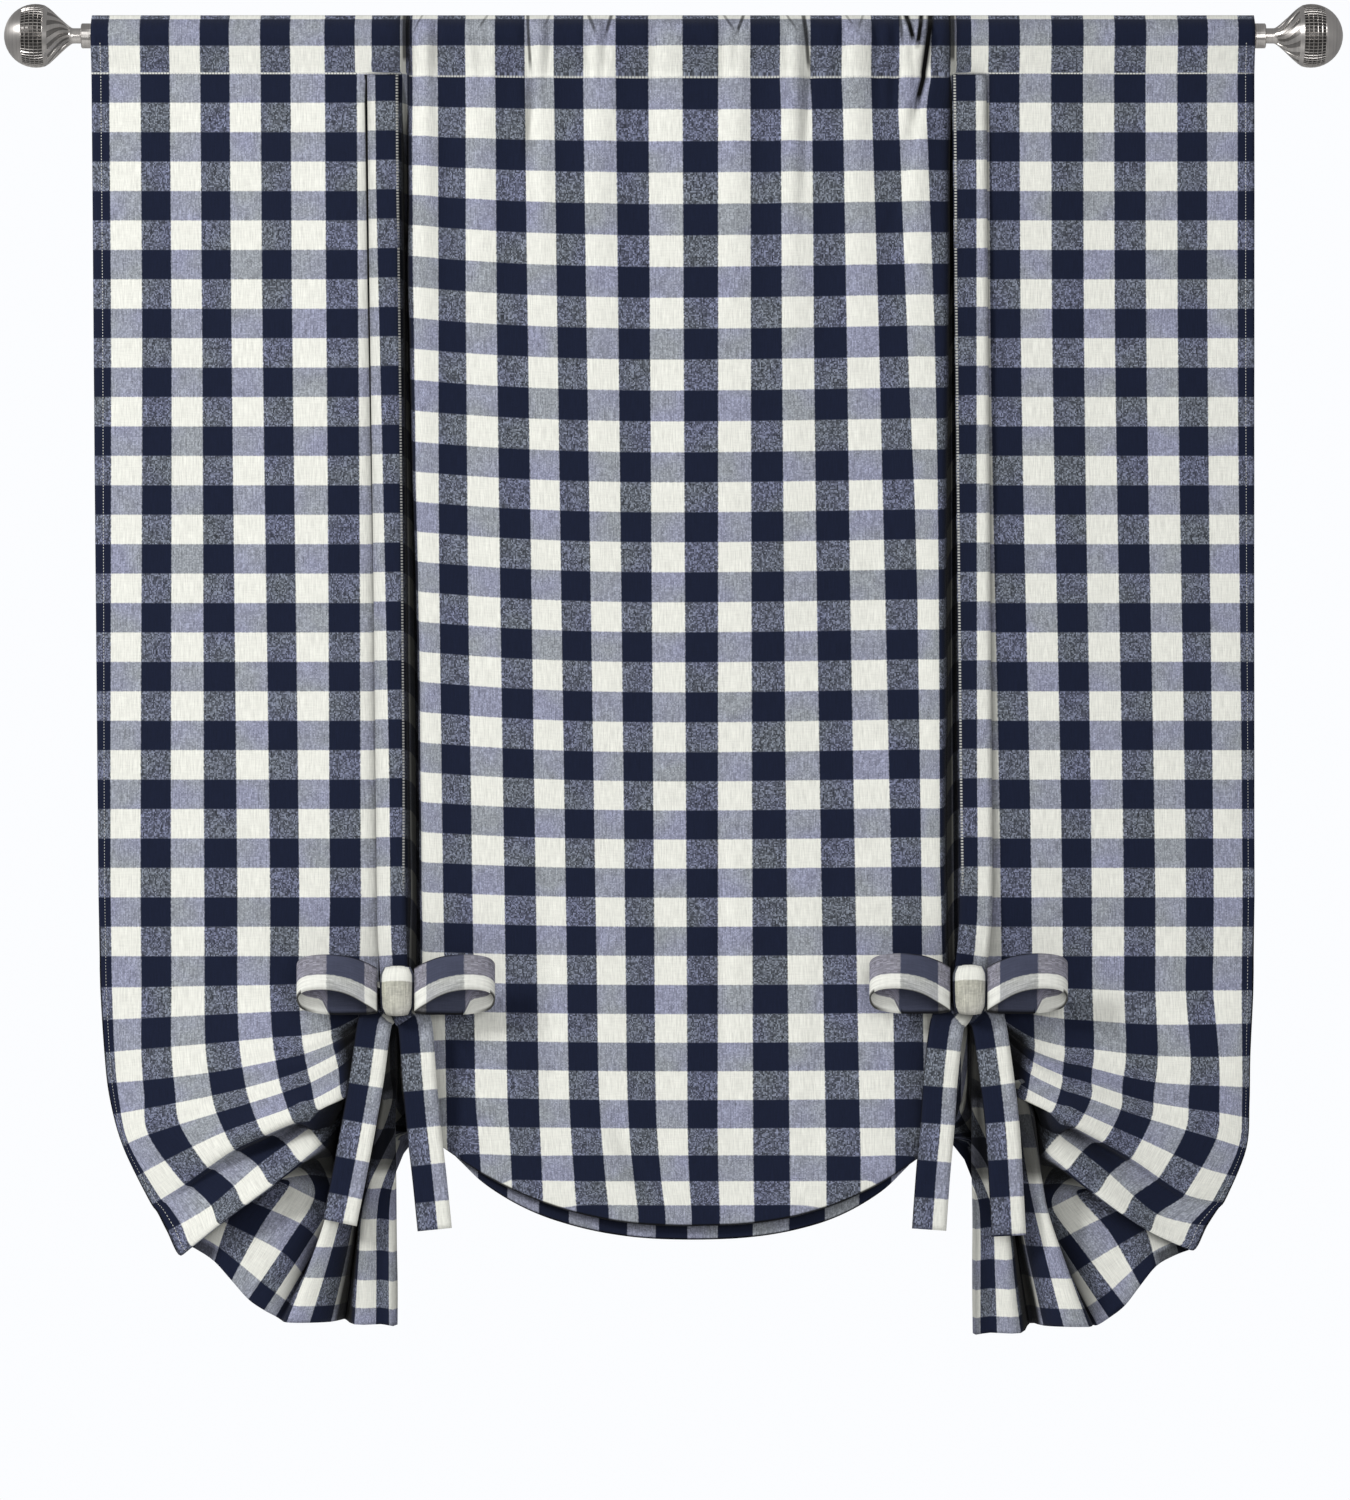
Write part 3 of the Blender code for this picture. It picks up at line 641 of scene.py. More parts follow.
def bump(value, centre, half_width):
    """1 at the centre, and less and less on both sides of it."""
    return math.exp(-((value - centre) / half_width) ** 2)


def plateau(value, start, full, falls, gone):
    """0 before start, 1 from full until it falls, 0 once it is gone, and smooth between."""
    return fade(start, full, value) * (1.0 - fade(falls, gone, value))


def read_table(table, key):
    """Values of a table's columns at a key between two of its rows."""
    for upper, lower in zip(table, table[1:]):
        if key <= lower[0]:
            share = (key - upper[0]) / (lower[0] - upper[0])
            return [between(a, b, share) for a, b in zip(upper[1:], lower[1:])]
    return list(table[-1][1:])


def smooth_weights(steps):
    """Weights that turn listed rows into a smooth run with that many steps between each two."""
    count = len(steps) + 1
    rows = []
    for cell, parts in enumerate(steps):
        for part in range(parts + (cell == len(steps) - 1)):
            t = part / parts
            share = (
                0.5 * (-t + 2 * t ** 2 - t ** 3),
                0.5 * (2 - 5 * t ** 2 + 3 * t ** 3),
                0.5 * (t + 4 * t ** 2 - 3 * t ** 3),
                0.5 * (-t ** 2 + t ** 3),
            )
            row = np.zeros(count)
            for offset, weight in zip((-1, 0, 1, 2), share):
                row[min(max(cell + offset, 0), count - 1)] += weight
            rows.append(row)
    return np.array(rows)


def smooth_run(points, steps):
    """A smooth run through listed tuples, as an array."""
    values = np.array(points, dtype=float)
    return smooth_weights([steps] * (len(values) - 1)) @ values


# The panel's cloth


def row_height(row):
    return CLOTH_TOP - CHECK_HEIGHT * row


def tangent_angle(y, z, radius, turn):
    return math.atan2(z, y) + turn * math.acos(radius / math.hypot(y, z))


def pocket_section():
    """Line of the pocket as (y, z, row of the pattern), from the sewn flap over the rod to the seam."""
    radius = ROD_RADIUS + ROD_CLEARANCE
    outside = radius / math.cos(SHOULDER_STEP / 2)
    seam_z = row_height(POCKET_SEAM)
    flap_end = (SEAM_Y + FLAP_GAP, seam_z)
    seam = (SEAM_Y, seam_z)
    peak = (0.0, CLOTH_TOP - 0.6)
    back = tangent_angle(*flap_end, radius, 1.0)
    front = tangent_angle(*seam, radius, -1.0) + 2.0 * math.pi
    shoulders = (math.pi / 2 - SHOULDER_ANGLE, math.pi / 2 + SHOULDER_ANGLE)

    def round_rod(first, last):
        steps = math.ceil((last - first) / SHOULDER_STEP)
        angles = [between(first, last, step / steps) for step in range(steps + 1)]
        return [(outside * math.cos(angle), outside * math.sin(angle)) for angle in angles]

    def half_way(first, second):
        return tuple(between(a, b, 0.5) for a, b in zip(first, second))

    line = [flap_end]
    rear = round_rod(back, shoulders[0])
    line += [half_way(flap_end, rear[0])] + rear
    near_peak = half_way(rear[-1], peak)
    line += [near_peak, peak, (-near_peak[0], near_peak[1])]
    fore = round_rod(shoulders[1], front)
    line += fore + [half_way(fore[-1], seam), seam]
    lengths = [0.0]
    for first, second in zip(line, line[1:]):
        lengths.append(lengths[-1] + math.dist(first, second))
    top = lengths[line.index(peak)]
    peak_row = POCKET_SEAM - (peak[1] - seam_z) / POCKET_ROW_HEIGHT
    points = []
    for (y, z), length in zip(line, lengths):
        row = POCKET_SEAM - (z - seam_z) / POCKET_ROW_HEIGHT
        if length < top:
            row = peak_row - (top - length) / CHECK_HEIGHT
        points.append((y, z, row))
    return points


def arc_height(x):
    reach, rise, power = ARC_LEFT if x < ARC_X else ARC_RIGHT
    return ARC_Z + rise * (abs(x - ARC_X) / reach) ** power


def middle_checks(x, row):
    """Pattern column at x in the middle."""
    low = min(max(row / CHECKS_FOOT, 0.0), 1.0)
    shifts = [float(np.interp(row, SHIFT_ROWS, listed[1:])) for listed in MIDDLE_SHIFTS]
    shifted = [listed[0] for listed in MIDDLE_SHIFTS]
    places = [between(top, bottom, low) + float(np.interp(checks, shifted, shifts))
              for checks, top, bottom in MIDDLE_CHECKS]
    return float(np.interp(x, places, [checks for checks, _, _ in MIDDLE_CHECKS]))


def middle_height(row, share):
    drop = read_table(MIDDLE_DROP, row)[0]
    sag = between(SAG_LEFT, SAG_RIGHT, share) * (2.0 * share - 1.0) ** 2 * fade(*SAG_GROWS, row)
    return row_height(row) - drop + sag * (1.0 - SAG_LOST * fade(SAG_SHRINKS, TIE_ROW, row))


def fan_place(column):
    """A side column as (index, share) between the fan table's columns."""
    index = max(np.searchsorted(FAN_COLUMNS, column) - 1, 0)
    first, second = FAN_COLUMNS[index:index + 2]
    return index, (column - first) / (second - first)


def cubic(values, index, share):
    """A smooth curve through a row of values, at a share of the way from one to the next."""
    before = values[max(index - 1, 0)]
    first, second = values[index:index + 2]
    after = values[min(index + 2, len(values) - 1)]
    b = second - before
    c = 2.0 * before - 5.0 * first + 4.0 * second - after
    d = 3.0 * (first - second) + after - before
    return 0.5 * (2.0 * first + b * share + c * share ** 2 + d * share ** 3)


def fan_point(side, number, column):
    """A point (x, z, forward) of a fan's listed rows; side is 0 for the left fan and 1 for the right."""
    listed = (FAN_LEFT, FAN_RIGHT)[side][number]
    index, share = fan_place(column)
    x, z = [cubic([point[axis] for point in listed], index, share) for axis in (0, 1)]
    return (x, z, cubic(FAN_FORWARD[number], index, share))


def pleat_point(side, number, column):
    """A point of the pleats that hang from the knot."""
    row = FAN_ROWS[number]
    if row < PLEAT_ROWS[0]:
        above = fan_point(side, number - 1, column)
        below = pleat_point(side, number + 1, column)
        x, z, forward = [between(a, b, 0.5) for a, b in zip(above, below)]
        forward -= FIRST_PLEAT_BACK
    else:
        pleat = next(listed for listed in HANGING_PLEATS if listed[0] == column)
        places = pleat[4:7] if side else pleat[1:4]
        x = np.interp(row, PLEAT_ROWS, places)
        forward = np.interp(row, PLEAT_ROWS, pleat[7:10])
        heights = read_table(PLEAT_HEIGHTS, row)[2 * side:2 * side + 2]
        z = heights[0] if column < INNER_PLEATS else heights[1]
    if column == HOLLOW_COLUMN:
        z += HOLLOW_DROP.get(row, 0.0)
        forward = min(forward, HOLLOW_FORWARD)
    return (float(x), float(z), float(forward))


def fan_side(side, number):
    """One row of a fan as (x, z, forward, checks across, checks down)."""
    row = FAN_ROWS[number]
    points = []
    for column, _, _, left_checks, right_checks, hem_checks in SIDES:
        listed = number < UPPER_ROWS or column <= FAN_COLUMNS[OUTER_COLUMNS - 1]
        place = (fan_point if listed else pleat_point)(side, number, column)
        checks = between((left_checks, right_checks)[side], hem_checks, fade(*LOBES_OPEN, row))
        points.append((*place, WHOLE_WIDTH - checks if side else checks, row))
    return points


def band_share(x):
    """How much of the turned-up band shows under the middle's arc: less towards its ends."""
    _, _, mid_left, mid_right, _, _ = read_table(OUTLINE, TIE_ROW)
    return between(EDGE_TURN, 1.0, fade(0.0, EDGE_REACH, min(x - mid_left, mid_right - x)))


def rows_down(depth):
    """Pattern rows from the ties down to a depth on the front of the middle."""
    near = min(depth, FOOT_DEPTH)
    return near / MIDDLE_ROW_HEIGHT + (depth - near) / FOOT_ROW_HEIGHT


def middle_below(share):
    """The middle below the ties: down, under at the arc, up behind and down again to the hem."""
    _, _, mid_left, mid_right, _, _ = read_table(OUTLINE, TIE_ROW)
    x = between(mid_left, mid_right, share)
    inside = min(x - mid_left, mid_right - x)
    inwards = 1.0 if share < 0.5 else -1.0
    start = middle_height(TIE_ROW, share)
    arc = arc_height(x)
    rise = FOLD_RISE * fade(0.0, EDGE_REACH, inside)
    turn = band_share(x)
    hem = arc - HEM_DROP * turn
    front_row = TIE_ROW + rows_down(start - arc)
    back_row = HEM_ROW - (arc + rise - hem) / MIDDLE_ROW_HEIGHT
    path = []
    for number, (fall, risen, extra, layer) in enumerate(MIDDLE_FOLDS):
        z = between(start, arc, fall) + risen * rise + extra * turn
        lean = 1.0 - fade(arc, MIDDLE_LEANS_FROM, z)
        front = between(MIDDLE_FORWARD, MIDDLE_LOW_FORWARD, lean)
        behind = layer * 2.0 * TURN_RADIUS
        step = inwards * behind * (1.0 - fade(0.0, 0.6 * EDGE_REACH, inside))
        if number <= TURNED_UNDER:
            row = TIE_ROW + rows_down(start - z)
        elif number < HIGHEST_BEHIND:
            row = between(front_row, back_row, (number - TURNED_UNDER) / (HIGHEST_BEHIND - TURNED_UNDER))
        else:
            row = HEM_ROW - (z - hem) / MIDDLE_ROW_HEIGHT
        checks = middle_checks(x, row if number <= TURNED_UNDER + 1 else BACK_CHECKS_ROW)
        checks += BAND_SHIFT * fade(6.0, 9.0, number)
        path.append((x + step, z, front - behind, checks, row))
    return path


def link(first, second, number, side, row):
    """The deep fold between a side's inner edge and the middle's edge."""
    open_share = fade(FOLD_STARTS, FOLD_FULL, row)
    deeper = FOLD_DEEPER * (1.0 - fade(FOLD_EASES, TIE_ROW, row))
    low = fade(*TAIL_OVER, number)
    hidden = HIDDEN_SHIFT * fade(*HIDDEN_OVER, number) + TAIL_SHIFT * low
    layer = MIDDLE_FOLDS[number][-1]
    points = []
    for share, fall, forward, spacing in DEEP_FOLD:
        fall = between(fall, 1.0 - (1.0 - fall) ** 3, low)
        x = between(first[0], second[0], share) + side * hidden * math.sin(math.pi * share)
        z = between(first[1], second[1], fall)
        back = forward - deeper - layer * LAYER_SPACING * spacing
        flat = between(first[2], second[2], share)
        checks = between(first[3], second[3], share)
        down = between(first[4], second[4], fall)
        points.append((x, z, between(flat, back, open_share), checks, down))
    return points


def joined_row(left, middle, right, number, row):
    left_fold = link(left[-1], middle[0], number, -1.0, row)
    right_fold = link(right[-1], middle[-1], number, 1.0, row)
    return left + left_fold + middle + right_fold[::-1] + right[::-1]


def hanging_side(side, row, in_pocket):
    """A side's part of a row between the pocket seam and the ties."""
    edges = read_table(OUTLINE, row)
    edge, inner = (edges[0], edges[1]) if side == 0 else (edges[5], edges[4])
    settled = fade(8.0, TIE_ROW, row)
    low = [point[0] for point in fan_side(side, 0)]
    places = [between(listed[1 + side], x, settled) for listed, x in zip(SIDES, low)]
    points = []
    for index, (listed, x) in enumerate(zip(SIDES, places)):
        share = (x - places[0]) / (places[-1] - places[0])
        checks = listed[3 + side]
        if in_pocket and listed[0] in POCKET_TUCK:
            checks += POCKET_TUCK[listed[0]][side]
        points.append((between(edge, inner, share), row_height(row), 0.0,
                       WHOLE_WIDTH - checks if side else checks, row))
    return points


def hanging_row(row, in_pocket=False):
    """A row between the pocket seam and the ties."""
    _, _, mid_left, mid_right, _, _ = read_table(OUTLINE, row)
    left, right = [hanging_side(side, row, in_pocket) for side in (0, 1)]
    forward = MIDDLE_FORWARD * fade(2.0, 9.0, row)
    middle = []
    for index in range(MIDDLE_CELLS + 1):
        share = index / MIDDLE_CELLS
        x = between(mid_left, mid_right, share)
        middle.append((x, middle_height(row, share), forward, middle_checks(x, row), row))
    return joined_row(left, middle, right, 0, row)


def fan_row(number):
    """A row of the fans and of the middle below the ties."""
    middle = [middle_below(index / MIDDLE_CELLS)[number] for index in range(MIDDLE_CELLS + 1)]
    return joined_row(fan_side(0, number), middle, fan_side(1, number), number, FAN_ROWS[number])


def panel_columns():
    """The grid's steps between each two of a row's points."""
    fold = [2] * (len(DEEP_FOLD) + 1)
    return list(SIDE_STEPS) + fold + [8] * MIDDLE_CELLS + fold + list(SIDE_STEPS)[::-1]


def panel_grid():
    """The whole panel as a fine grid: places in millimetres and the two pattern counts."""
    flat = hanging_row(POCKET_SEAM, True)
    just_above = POCKET_SEAM - 0.05
    section = pocket_section()[:-1]
    steps = [2 if pattern_row > -0.5 else 1 for _, _, pattern_row in section] + [1]
    section.append((SEAM_Y, row_height(just_above), just_above))
    rows = [[(x, y, z, checks, down) for x, _, _, checks, _ in flat] for y, z, down in section]
    hanging = range(POCKET_SEAM, TIE_ROW)
    lines = [hanging_row(float(row)) for row in hanging]
    lines += [fan_row(number) for number in range(len(FAN_ROWS))]
    steps += [3 if row < 12 else 2 for row in hanging]
    steps += FAN_STEPS
    for line in lines:
        rows.append([(x, SEAM_Y - forward, z, checks, down) for x, z, forward, checks, down in line])
    across = smooth_weights(panel_columns())
    return np.einsum("rc,cdk,sd->rsk", smooth_weights(steps), np.array(rows), across)


def grid_normals(places):
    along = np.gradient(places, axis=1)
    down = np.gradient(places, axis=0)
    normals = np.cross(down, along)
    lengths = np.linalg.norm(normals, axis=2, keepdims=True)
    return normals / np.maximum(lengths, 1e-9)


def knot_pleat(checks, row):
    """Height of the small pleats that run out of the knots, at a column counted from the side edge."""
    near = fade(3.0, 8.5, checks)
    total = 0.0
    for at_knot, at_edge, half, forward in KNOT_PLEATS:
        line = between(at_edge, at_knot, checks / 10.0)
        total += forward * near * bump(row, line, half)
    return total


def surface_detail(x, z, checks, row, gather_depth):
    """How far the finished cloth stands off the plain folds."""
    inside = plateau(x, *PUFF_SPAN)
    detail = gather_depth * PUFF * inside * bump(row, *PUFF_ROWS)
    from_edge = min(checks, WHOLE_WIDTH - checks)

    # Each kind of fold is worked out only where it can show
    if abs(x) < 262.0 and 0.0 < row < 30.0:
        for centre, half_width, forward, reach in GATHERS:
            sharpness = between(0.8, 1.3, min(row / reach, 1.0))
            gather = bump(x, centre, half_width * sharpness) * bump(row, 1.0, reach)
            detail += gather_depth * forward * gather
    if abs(x) < 254.0 and -1.5 < row < 12.0:
        for centre, half_width, depth, reach, slant in PUCKERS:
            length = reach if row > 0.5 else 1.6
            pucker = bump(x, centre + slant * row, half_width) * bump(row, 0.5, length)
            detail -= gather_depth * depth * pucker
    if from_edge < 11.0 and TIE_ROW < row < 39.0:
        detail += knot_pleat(from_edge, row)
    if abs(x) < 200.0 and row < 40.2:
        for top_x, top_z, foot_x, foot_z, half_width, depth in LOW_FOLDS:
            share = (z - top_z) / (foot_z - top_z)
            if -0.2 < share < 1.1:
                reach = plateau(share, -0.2, 0.35, 0.8, 1.1) * (1.0 - fade(38.6, 40.2, row))
                detail -= depth * reach * bump(x, between(top_x, foot_x, share), half_width)
    for height, across, down, layer in UNEVENNESS:
        detail += height * noise.noise(Vector((x * across, z * down, layer)))
    return detail


def fold_shadow(x, checks, row):
    """How much painted shadow darkens the deepest folds: beside the long ties and in the fans."""
    column = min(checks, WHOLE_WIDTH - checks)
    if row < MARKS_CHANGE:
        return between(*DEEP_FOLD_DARK, fade(3.0, 8.0, row)) * plateau(column, *DEEP_FOLD_SPAN)
    from_middle = max(MIDDLE_SPAN[0] - x, x - MIDDLE_SPAN[1])
    if from_middle < BESIDE_MIDDLE:
        return 0.0
    near_knot = 1.0 - fade(*KNOT_SHADOW_FADES, from_middle)
    under_knot = KNOT_SHADOW * near_knot * plateau(row, *KNOT_SHADOW_ROWS)
    if column > 11.5:
        return max(under_knot, 0.45 * fade(12.95, 13.05, column))
    opened = fade(*LOBES_OPEN, row)
    off_gap = abs(column - between(8.94, 10.0, opened)) / between(0.3, 0.9, opened)
    between_lobes = LOBE_SHADOW * plateau(column, *LOBE_SHADOW_SPAN) * bump(row, *LOBE_SHADOW_ROW)
    trough = bump(column, *TROUGH) * fade(42.0, 42.6, row) * (1.0 - 0.8 * fade(45.0, 46.8, row))
    trough *= 1.0 - fade(6.85, 7.05, column)
    gap = (1.0 - fade(0.75, 1.05, off_gap)) * fade(40.6, 41.6, row)
    plain = [darkness * plateau(column, *across) * plateau(row, *down)
             for darkness, across, down in FAN_SHADOWS]
    return FOLD_DARKEST * max(under_knot, between_lobes, trough, gap, *plain)


def edge_shade_share(x, z, row):
    """1 at the middle's lower edges, its fold's and its hem's, and less with each millimetre above: the mark
    for the painted shadow line there.
    """
    if row < MARKS_CHANGE or not MIDDLE_SPAN[0] < x < MIDDLE_SPAN[1]:
        return 0.0
    edge = arc_height(x) - (HEM_DROP * band_share(x) if row > 44.0 else 0.0)
    return max(1.0 - (z - edge) / EDGE_SHADE_REACH, 0.0)


def mesh_from_grid(name, places, checks, rows, marks=()):
    """A quad sheet with its pattern counts as its UV map, and (name, values) marks as attributes."""
    down, across, _ = places.shape
    verts = (places.reshape(-1, 3) * MM).tolist()
    starts = [row * across + column for row in range(down - 1) for column in range(across - 1)]
    faces = [(first, first + across, first + across + 1, first + 1) for first in starts]
    mesh = bpy.data.meshes.new(name)
    mesh.from_pydata(verts, [], faces)
    layer = mesh.uv_layers.new(name="checks")
    corners = np.zeros(len(mesh.loops), dtype=np.int32)
    mesh.loops.foreach_get("vertex_index", corners)
    uv = np.stack([checks.reshape(-1)[corners], rows.reshape(-1)[corners]], axis=1)
    layer.data.foreach_set("uv", uv.reshape(-1).astype(np.float32))
    for mark, listed in marks:
        store_mark(mesh, mark, listed.reshape(-1))
    mesh.shade_smooth()
    made = bpy.data.objects.new(name, mesh)
    bpy.context.scene.collection.objects.link(made)
    return made


def store_mark(mesh, mark, values):
    """Stores a value for each vertex, for the materials to read by name."""
    layer = mesh.attributes.new(mark, "FLOAT", "POINT")
    layer.data.foreach_set("value", values.astype(np.float32))


def give_thickness(made, thickness):
    wall = made.modifiers.new("cloth thickness", "SOLIDIFY")
    wall.thickness = thickness
    wall.offset = 0.0
    wall.use_even_offset = False
    deselect_all()
    made.select_set(True)
    bpy.context.view_layer.objects.active = made
    bpy.ops.object.modifier_apply(modifier=wall.name)
    made.select_set(False)


def deselect_all():
    for found in bpy.context.scene.objects:
        found.select_set(False)


# Ribbons


def ribbon_places(path, widths, across_steps, crown):
    """A ribbon facing the front along (x, z, forward) points; widths are those at its top and foot."""
    run = smooth_run(path, 6)
    width = np.linspace(*widths, len(run))
    ahead = np.gradient(run[:, :2], axis=0)
    ahead /= np.linalg.norm(ahead, axis=1, keepdims=True)
    shares = np.linspace(-0.5, 0.5, across_steps + 1)
    places = np.zeros((len(run), across_steps + 1, 3))
    for index, share in enumerate(shares):
        lift = crown * (1.0 - (2.0 * share) ** 2)
        places[:, index, 0] = run[:, 0] - ahead[:, 1] * share * width
        places[:, index, 2] = run[:, 1] + ahead[:, 0] * share * width
        places[:, index, 1] = SEAM_Y - run[:, 2] - lift
    return places


def run_lengths(places):
    middle = places[:, places.shape[1] // 2]
    steps = np.linalg.norm(np.diff(middle, axis=0), axis=1)
    return np.concatenate([[0.0], np.cumsum(steps)])


def ribbon(name, places, first_check, last_check, rows, thickness, drift=0.0):
    """A ribbon with its pattern; drift moves the pattern across it, in checks for each point of its run."""
    across = places.shape[1]
    checks = np.tile(np.linspace(first_check, last_check, across), (len(places), 1))
    checks += np.broadcast_to(drift, len(places))[:, None]
    down = np.tile(np.array(rows)[:, None], (1, across))
    made = mesh_from_grid(name, places, checks, down)
    give_thickness(made, thickness)
    return made


def finish_piece(made, material, nodes):
    """Gives a piece its one material, hangs it on the root body and hides the CAD nodes it stands for."""
    made.data.materials.clear()
    made.data.materials.append(material)
    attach(made, "root")
    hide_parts(*nodes)


def loop_places(knot, side):
    """A bow loop: the ribbon stands upright, goes out, turns and comes back lower."""
    run = smooth_run(LOOP_PATH, 5)
    crease_height, reach = LOOP_CREASES
    near_knot = np.exp(-((run[:, 0] - LOOP_PATH[0][0]) / reach) ** 2)
    belly = np.where(run[:, 2] > LOOP_FRONT, *LOOP_BELLY)
    shares = np.linspace(0.5, -0.5, 9)
    places = np.zeros((len(run), len(shares), 3))
    for index, share in enumerate(shares):
        edge = abs(2.0 * share)
        crease = crease_height * near_knot * math.cos(share * 4.0 * math.pi)
        places[:, index, 0] = knot[0] + side * run[:, 0]
        places[:, index, 1] = SEAM_Y - run[:, 2] - crease - belly * (1.0 - edge ** 2)
        places[:, index, 2] = knot[1] + run[:, 1] + run[:, 3] * share
    return places


def knot_places(knot):
    """The wrap round a bow's middle: a ribbon ring with soft creases and turned-in edges."""
    places = np.zeros((KNOT_LEVELS + 1, KNOT_ROUND + 1, 3))
    for level in range(KNOT_LEVELS + 1):
        share = level / KNOT_LEVELS
        height = between(0.5, -0.5, share) * KNOT_HEIGHT
        half_width = between(*KNOT_HALF_WIDTHS, share)
        rim = 1.0 - KNOT_TURNED_IN * (bump(share, 0.0, 0.09) + bump(share, 1.0, 0.09))
        belly = 1.0 + 0.05 * math.sin(math.pi * share)
        for index in range(KNOT_ROUND + 1):
            angle = 2.0 * math.pi * index / KNOT_ROUND + math.pi / 2
            round_part = (math.cos(angle), math.sin(angle))
            wide, deep = [math.copysign(abs(part) ** KNOT_SQUARE, part) for part in round_part]
            crease = KNOT_CREASE * math.sin(3.0 * angle + 1.0) * math.sin(math.pi * share)
            x = wide * half_width * rim * belly
            y = deep * (KNOT_HALF_DEPTH * rim + crease)
            z = height + 1.5 * wide * wide * (1.0 if share > 0.5 else -1.0)
            places[level, index] = (knot[0] + KNOT_ASIDE + x, SEAM_Y - KNOT_FORWARD + y, knot[1] + z)
    return places


# Materials


def new_material(name):
    """A material, its node tree and its Principled shader."""
    material = bpy.data.materials.new(name)
    material.use_nodes = True
    tree = material.node_tree
    return material, tree, tree.nodes["Principled BSDF"]


def add_node(tree, kind, fed=(), **settings):
    """A node with its settings; fed gives its sockets numbers, colours or links, by name or number."""
    node = tree.nodes.new(kind)
    for key, value in settings.items():
        setattr(node, key, value)
    feed(tree, node, fed)
    return node


def feed(tree, node, fed):
    """Sets or links a node's input sockets, by name or number."""
    for key, value in dict(fed).items():
        if isinstance(value, bpy.types.NodeSocket):
            tree.links.new(value, node.inputs[key])
        else:
            node.inputs[key].default_value = value


def math_node(tree, operation, first, second=None, clamp=False):
    """A Math node on sockets or numbers; returns its output."""
    fed = {0: first} if second is None else {0: first, 1: second}
    return add_node(tree, "ShaderNodeMath", fed, operation=operation, use_clamp=clamp).outputs[0]


def arithmetic(tree):
    """The commonest operations of the Math node in one tree, as four functions of two values."""
    def function(operation):
        return lambda first, second, clamp=False: math_node(tree, operation, first, second, clamp)

    return [function(operation) for operation in ("ADD", "SUBTRACT", "MULTIPLY", "MAXIMUM")]


def mix_colours(tree, share, first, second, blend="MIX"):
    fed = {0: share, 6: first, 7: second}
    return add_node(tree, "ShaderNodeMix", fed, data_type="RGBA", blend_type=blend).outputs[2]


def scale_colour(tree, colour, share):
    return add_node(tree, "ShaderNodeVectorMath", {0: colour, "Scale": share}, operation="SCALE").outputs[0]


def soft_noise(tree, vector, scale, detail):
    fed = {"Vector": vector, "Scale": scale, "Detail": detail}
    return add_node(tree, "ShaderNodeTexNoise", fed).outputs["Fac"]


def stored_mark(tree, mark):
    return add_node(tree, "ShaderNodeAttribute", attribute_name=mark).outputs["Fac"]


def add_relief(tree, shader, height, strength, distance):
    """Raises the surface by a height, by its normals alone."""
    relief = add_node(tree, "ShaderNodeBump", {"Height": height, "Strength": strength, "Distance": distance})
    feed(tree, shader, {"Normal": relief.outputs[0]})


